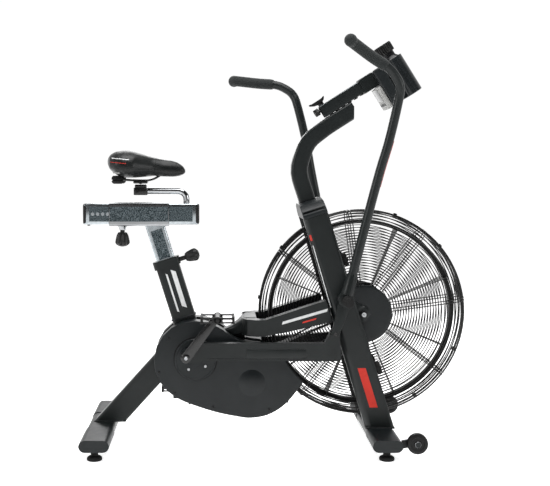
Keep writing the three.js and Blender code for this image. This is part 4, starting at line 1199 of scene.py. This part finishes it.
def saddle_trim(cover, low, high):
    """Seams, a grey base rim round the rear, and two plain printed lines on each side."""
    def at(share, y, height):
        return Vector((low.x + (high.x - low.x) * share, y, low.z + (high.z - low.z) * height))

    def run(points):
        return [p for p in (on_cover(cover, a, b) for a, b in points) if p]

    def inward(side, steps):
        """Rays to the middle plane, one for each share of the length and of the height."""
        return [(at(t, side * 0.2, h), at(t, 0, h)) for t, h in steps]

    seams = bmesh.new()
    for side_name, side in SIDES.items():
        edge = [(0.05 + i * 0.0225, 0.34 - i * 0.003) for i in range(41)]
        add_tube(seams, run(inward(side, edge)), 0.9 * MM, 8)
        for name, (height, first, last, thick, ink) in SADDLE_LINES.items():
            marks = bmesh.new()
            steps = [first + (last - first) * i / 20 for i in range(21)]
            path = run(inward(side, [(t, height - 0.3 * (t - first)) for t in steps]))
            add_tube(marks, path, thick, 8)
            piece(f"saddle_{name}_{side_name}", marks, ink, "seat_slider")
    for share in (0.6, 0.86):
        middle = at(share, 0, 0.3)
        over = [(middle + Vector((z * 0.1, y, z)), middle) for y, z in arc(0, 0, 0.2, -10, 190, 40)]
        add_tube(seams, run(over), 0.8 * MM, 8)
    piece("saddle_seams", seams, "saddle_vinyl", "seat_slider")
    rim = bmesh.new()
    centre = at(0.3, 0, 0.17)
    back = [(centre + Vector((x, y, 0)), centre) for x, y in arc(0, 0, 0.3, 110, 250, 60)]
    add_tube(rim, run(back), 3 * MM, 10)
    piece("saddle_base_rim", rim, GREY, "seat_slider", slot="knob_plastic")


def seat():
    refine("seat_post", 1.2, 3, 60)
    lean = math.radians(SEAT_LEAN)
    top = (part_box("seat_post")[1].z - CRANK.z) / math.cos(lean)
    side_panels("post_panels", up_mast(0.352, 0), up_mast(top - 14 * MM, 0), 19 * MM, 40 * MM, "seat_post")
    slider()
    stem()
    clamp_and_rails()
    saddle()
    low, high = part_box("slider_knob")
    top = Vector(((low.x + high.x) / 2, 0, high.z))
    under = move(top) @ Matrix.Rotation(math.pi, 4, "X")
    fluted_knob("slider_knob", under, 25, 22, 72, "slider_knob")
    turned("slider_knob_neck", mm((9, -0.2), (19, -0.2), (13, 7), (12, 14), (9, 14)), under,
           "chrome_plate", "seat_post", count=48, closed=True)
    out = up_mast(0.334, 0, 46.3 * MM)
    fluted_knob("mast_knob", move(out) @ turn_y(90 - SEAT_LEAN), 22, 20, 70, "mast_knob")


# ---- console ----
BOOM = move((CRANK.x + 0.428, 0, 1.127)) @ turn_y(-BOOM_RISE)


def on_boom(x, y, z):
    return BOOM @ move((x, y, z))


def boom():
    refine("console_boom", 2)
    # Thin bright bars along the boom's two top edges: painted highlight lines, kept in the chrome slot.
    bm = bmesh.new()
    for side in SIDES.values():
        a, b = (BOOM @ Vector((x, side * 21 * MM, 20.2 * MM)) for x in (6 * MM, 152 * MM))
        add_tube(bm, [a.lerp(b, i / 8) for i in range(9)], 1.1 * MM, 8)
    piece("boom_edge_highlights", bm, "zinc_plate", "console", slot="chrome_plate")
    pads = bmesh.new()
    for i in range(6):
        add_block(pads, (10 * MM, 40 * MM, 5 * MM), on_boom((26 + 24 * i) * MM, 0, -22 * MM), 1.6 * MM)
    piece("boom_pads", pads, "foot_rubber", "console")
    tray = bmesh.new()
    outline = mm((-24, 38), (-25, 43.4), (-21, 43.4), (-16, 41.5), (20, 41.5), (26, 43), (33, 45.5),
                 (33, 40), (27, 33), (16, 28), (4, 27), (-12, 31))
    add_rings(tray, [[BOOM @ Vector((x, y, z)) for x, z in outline] for y in (-9 * MM, 9 * MM)])
    place = on_boom(12 * MM, 0, 21.3 * MM)
    add_lathe(tray, mm((0, 0), (10, 0), (10, 7), (13, 10), (0, 11)), place, 32)
    piece("boom_lever_finished", tray, "knob_plastic", "boom_lever", ["boom_lever"])
    back = on_boom(-0.3 * MM, 0, 8 * MM) @ Matrix.Rotation(math.radians(-90), 4, "Y")
    turned("boom_knob_finished", mm((0, 0), (7, 0), (7, 5), (12, 6), (12.5, 8), (12.5, 21), (11, 23.5),
                                    (0, 23.5)), back, "crank_metal", "boom_knob", ["boom_knob"], count=72,
           lobes=18, depth=0.07)


def console():
    """A shell shorter than the CAD slab. A grey unit on it faces the rider, with a screen and plain keys."""
    face = 206 * MM
    slab = bmesh.new()
    thick, wide, low, high = 38 * MM, 130 * MM, -114 * MM, 26 * MM
    add_block(slab, (thick, wide, high - low), on_boom(face + 0.3 * MM + thick / 2, 0, (low + high) / 2),
              6 * MM, 4)
    piece("console_body_finished", slab, "black_plastic", "console", ["console_body"])
    unit = bmesh.new()
    deep, across, tall = 17 * MM, 112 * MM, 82 * MM
    middle = -70 * MM
    add_block(unit, (deep, across, tall), on_boom(face - deep / 2, 0, middle), 2 * MM)
    piece("display_unit", unit, GREY, "console", slot="black_plastic")
    glass = bmesh.new()
    add_block(glass, (1.6 * MM, 92 * MM, 42 * MM), on_boom(face - deep, 0, middle + 13 * MM), 0.6 * MM)
    piece("display_screen", glass, SCREEN, "console", slot="bottle_plastic")
    keys = bmesh.new()
    for i in range(5):
        place = on_boom(face - deep - 0.6 * MM, (i - 2) * 19 * MM, middle - 22 * MM)
        add_block(keys, (3 * MM, 13 * MM, 9 * MM), place, 1.2 * MM)
    piece("display_keys", keys, "knob_plastic", "console")


def holder_and_bottle():
    r, long, wall = 40, 138, 2.5  # mm
    place = on_boom(289 * MM, 0, -112 * MM)
    bm = bmesh.new()
    cup = mm((0, 0), (r - 2, 0), (r, 2), (r, long - 1), (r - 1, long), (r - wall, long - 0.8),
             (r - wall, wall), (0, wall))
    add_lathe(bm, cup, place, 80)
    gap = 289 - 206 - 0.3 - 38 - 0.3  # mm, from the cup's axis to the shell
    reach = gap - r + 4
    arm = place @ move(((4 - r - reach / 2) * MM, 0, 69 * MM))
    add_block(bm, (reach * MM, 36 * MM, 98 * MM), arm, 2 * MM)
    piece("bottle_holder_finished", bm, "holder_metal", "console", ["bottle_holder"])
    inside = r - wall - 1
    bottle = mm((0, 2.8), (inside - 3, 2.8), (inside, 7), (inside, long - 6), (inside - 5, long),
                (25, long + 7), (24, long + 10), (24, long + 24), (0, long + 24))
    turned("drink_bottle_finished", bottle, place, "bottle_plastic", "bottle", ["drink_bottle"], count=64)
    lid = mm((0, long + 24), (30, long + 24), (31, long + 26), (31, long + 52), (29, long + 56),
             (0, long + 56.6))
    turned("bottle_lid", lid, place, "knob_plastic", "bottle", count=144, lobes=24, depth=0.09)


# ---- pieces kept as they are ----
def plain_nodes():
    for node in ("crank_spindle", "jackshaft", "first_belt", "second_belt"):
        kept = NODES[node]
        kept.data.materials.clear()
        kept.data.materials.append(LOOK[SLOT[node]])


# ---- stage ----
def floor():
    bm = bmesh.new()
    bmesh.ops.create_grid(bm, x_segments=1, y_segments=1, size=30)
    mesh = bpy.data.meshes.new("floor")
    bm.to_mesh(mesh)
    bm.free()
    f = Finish("pale_floor", 0.9)
    f.colour(f.noise(2), (0.93, 0.93, 0.93), (0.95, 0.95, 0.95))
    f.shader.inputs["Emission Color"].default_value = (1, 1, 1, 1)
    f.shader.inputs["Emission Strength"].default_value = 0.8
    mesh.materials.append(f.material)
    made = bpy.data.objects.new("floor", mesh)
    bpy.context.scene.collection.objects.link(made)


def light(name, place, target, size, power):
    data = bpy.data.lights.new(name, "AREA")
    data.size = size
    data.energy = power
    made = bpy.data.objects.new(name, data)
    made.location = place
    made.rotation_euler = (Vector(target) - Vector(place)).to_track_quat("-Z", "Y").to_euler()
    bpy.context.scene.collection.objects.link(made)


def sky():
    """A soft white sky that dims on the rider's right and overhead, so that dark paint keeps its depth."""
    world = bpy.data.worlds.new("studio")
    world.use_nodes = True
    tree = world.node_tree
    new, join = tree.nodes.new, tree.links.new
    split = new("ShaderNodeSeparateXYZ")
    join(new("ShaderNodeTexCoord").outputs["Generated"], split.inputs["Vector"])
    spans = []
    for axis, limits in (("Y", (-0.25, 0.1, 0.07, 1.02)), ("Z", (0.2, 0.6, 1.0, 0.3))):
        span = new("ShaderNodeMapRange")
        for name, limit in zip(("From Min", "From Max", "To Min", "To Max"), limits):
            span.inputs[name].default_value = limit
        join(split.outputs[axis], span.inputs["Value"])
        spans.append(span)
    both = new("ShaderNodeMath")
    both.operation = "MULTIPLY"
    for span, end in zip(spans, both.inputs):
        join(span.outputs["Result"], end)
    join(both.outputs["Value"], tree.nodes["Background"].inputs["Strength"])
    tree.nodes["Background"].inputs["Color"].default_value = (1, 1, 1, 1)
    bpy.context.scene.world = world


def stage():
    floor()
    sky()
    aim = (0, 0, 0.6)
    light("overhead", (0, -0.5, 3.2), aim, 2.2, 90)
    light("front_left", (-3.2, -2.0, 1.9), aim, 1.2, 40)
    light("front_right", (3.2, -1.8, 1.6), aim, 1.0, 26)
    light("behind", (0, 2.8, 2.2), aim, 2.2, 50)
    bpy.context.scene.view_settings.view_transform = "Standard"


def camera():
    data = bpy.data.cameras.new("camera")
    data.lens = 66.1
    data.sensor_width = 36
    data.shift_x = 0.1055
    made = bpy.data.objects.new("camera", data)
    made.location = (-0.1951, -3.45, 0.944)
    made.rotation_euler = (math.radians(90 - 4.33), 0, 0)
    bpy.context.scene.collection.objects.link(made)
    bpy.context.scene.camera = made


camera()
stage()
base()
frame_tubes()
fan()
crankset()
arms()
seat()
boom()
console()
holder_and_bottle()
plain_nodes()
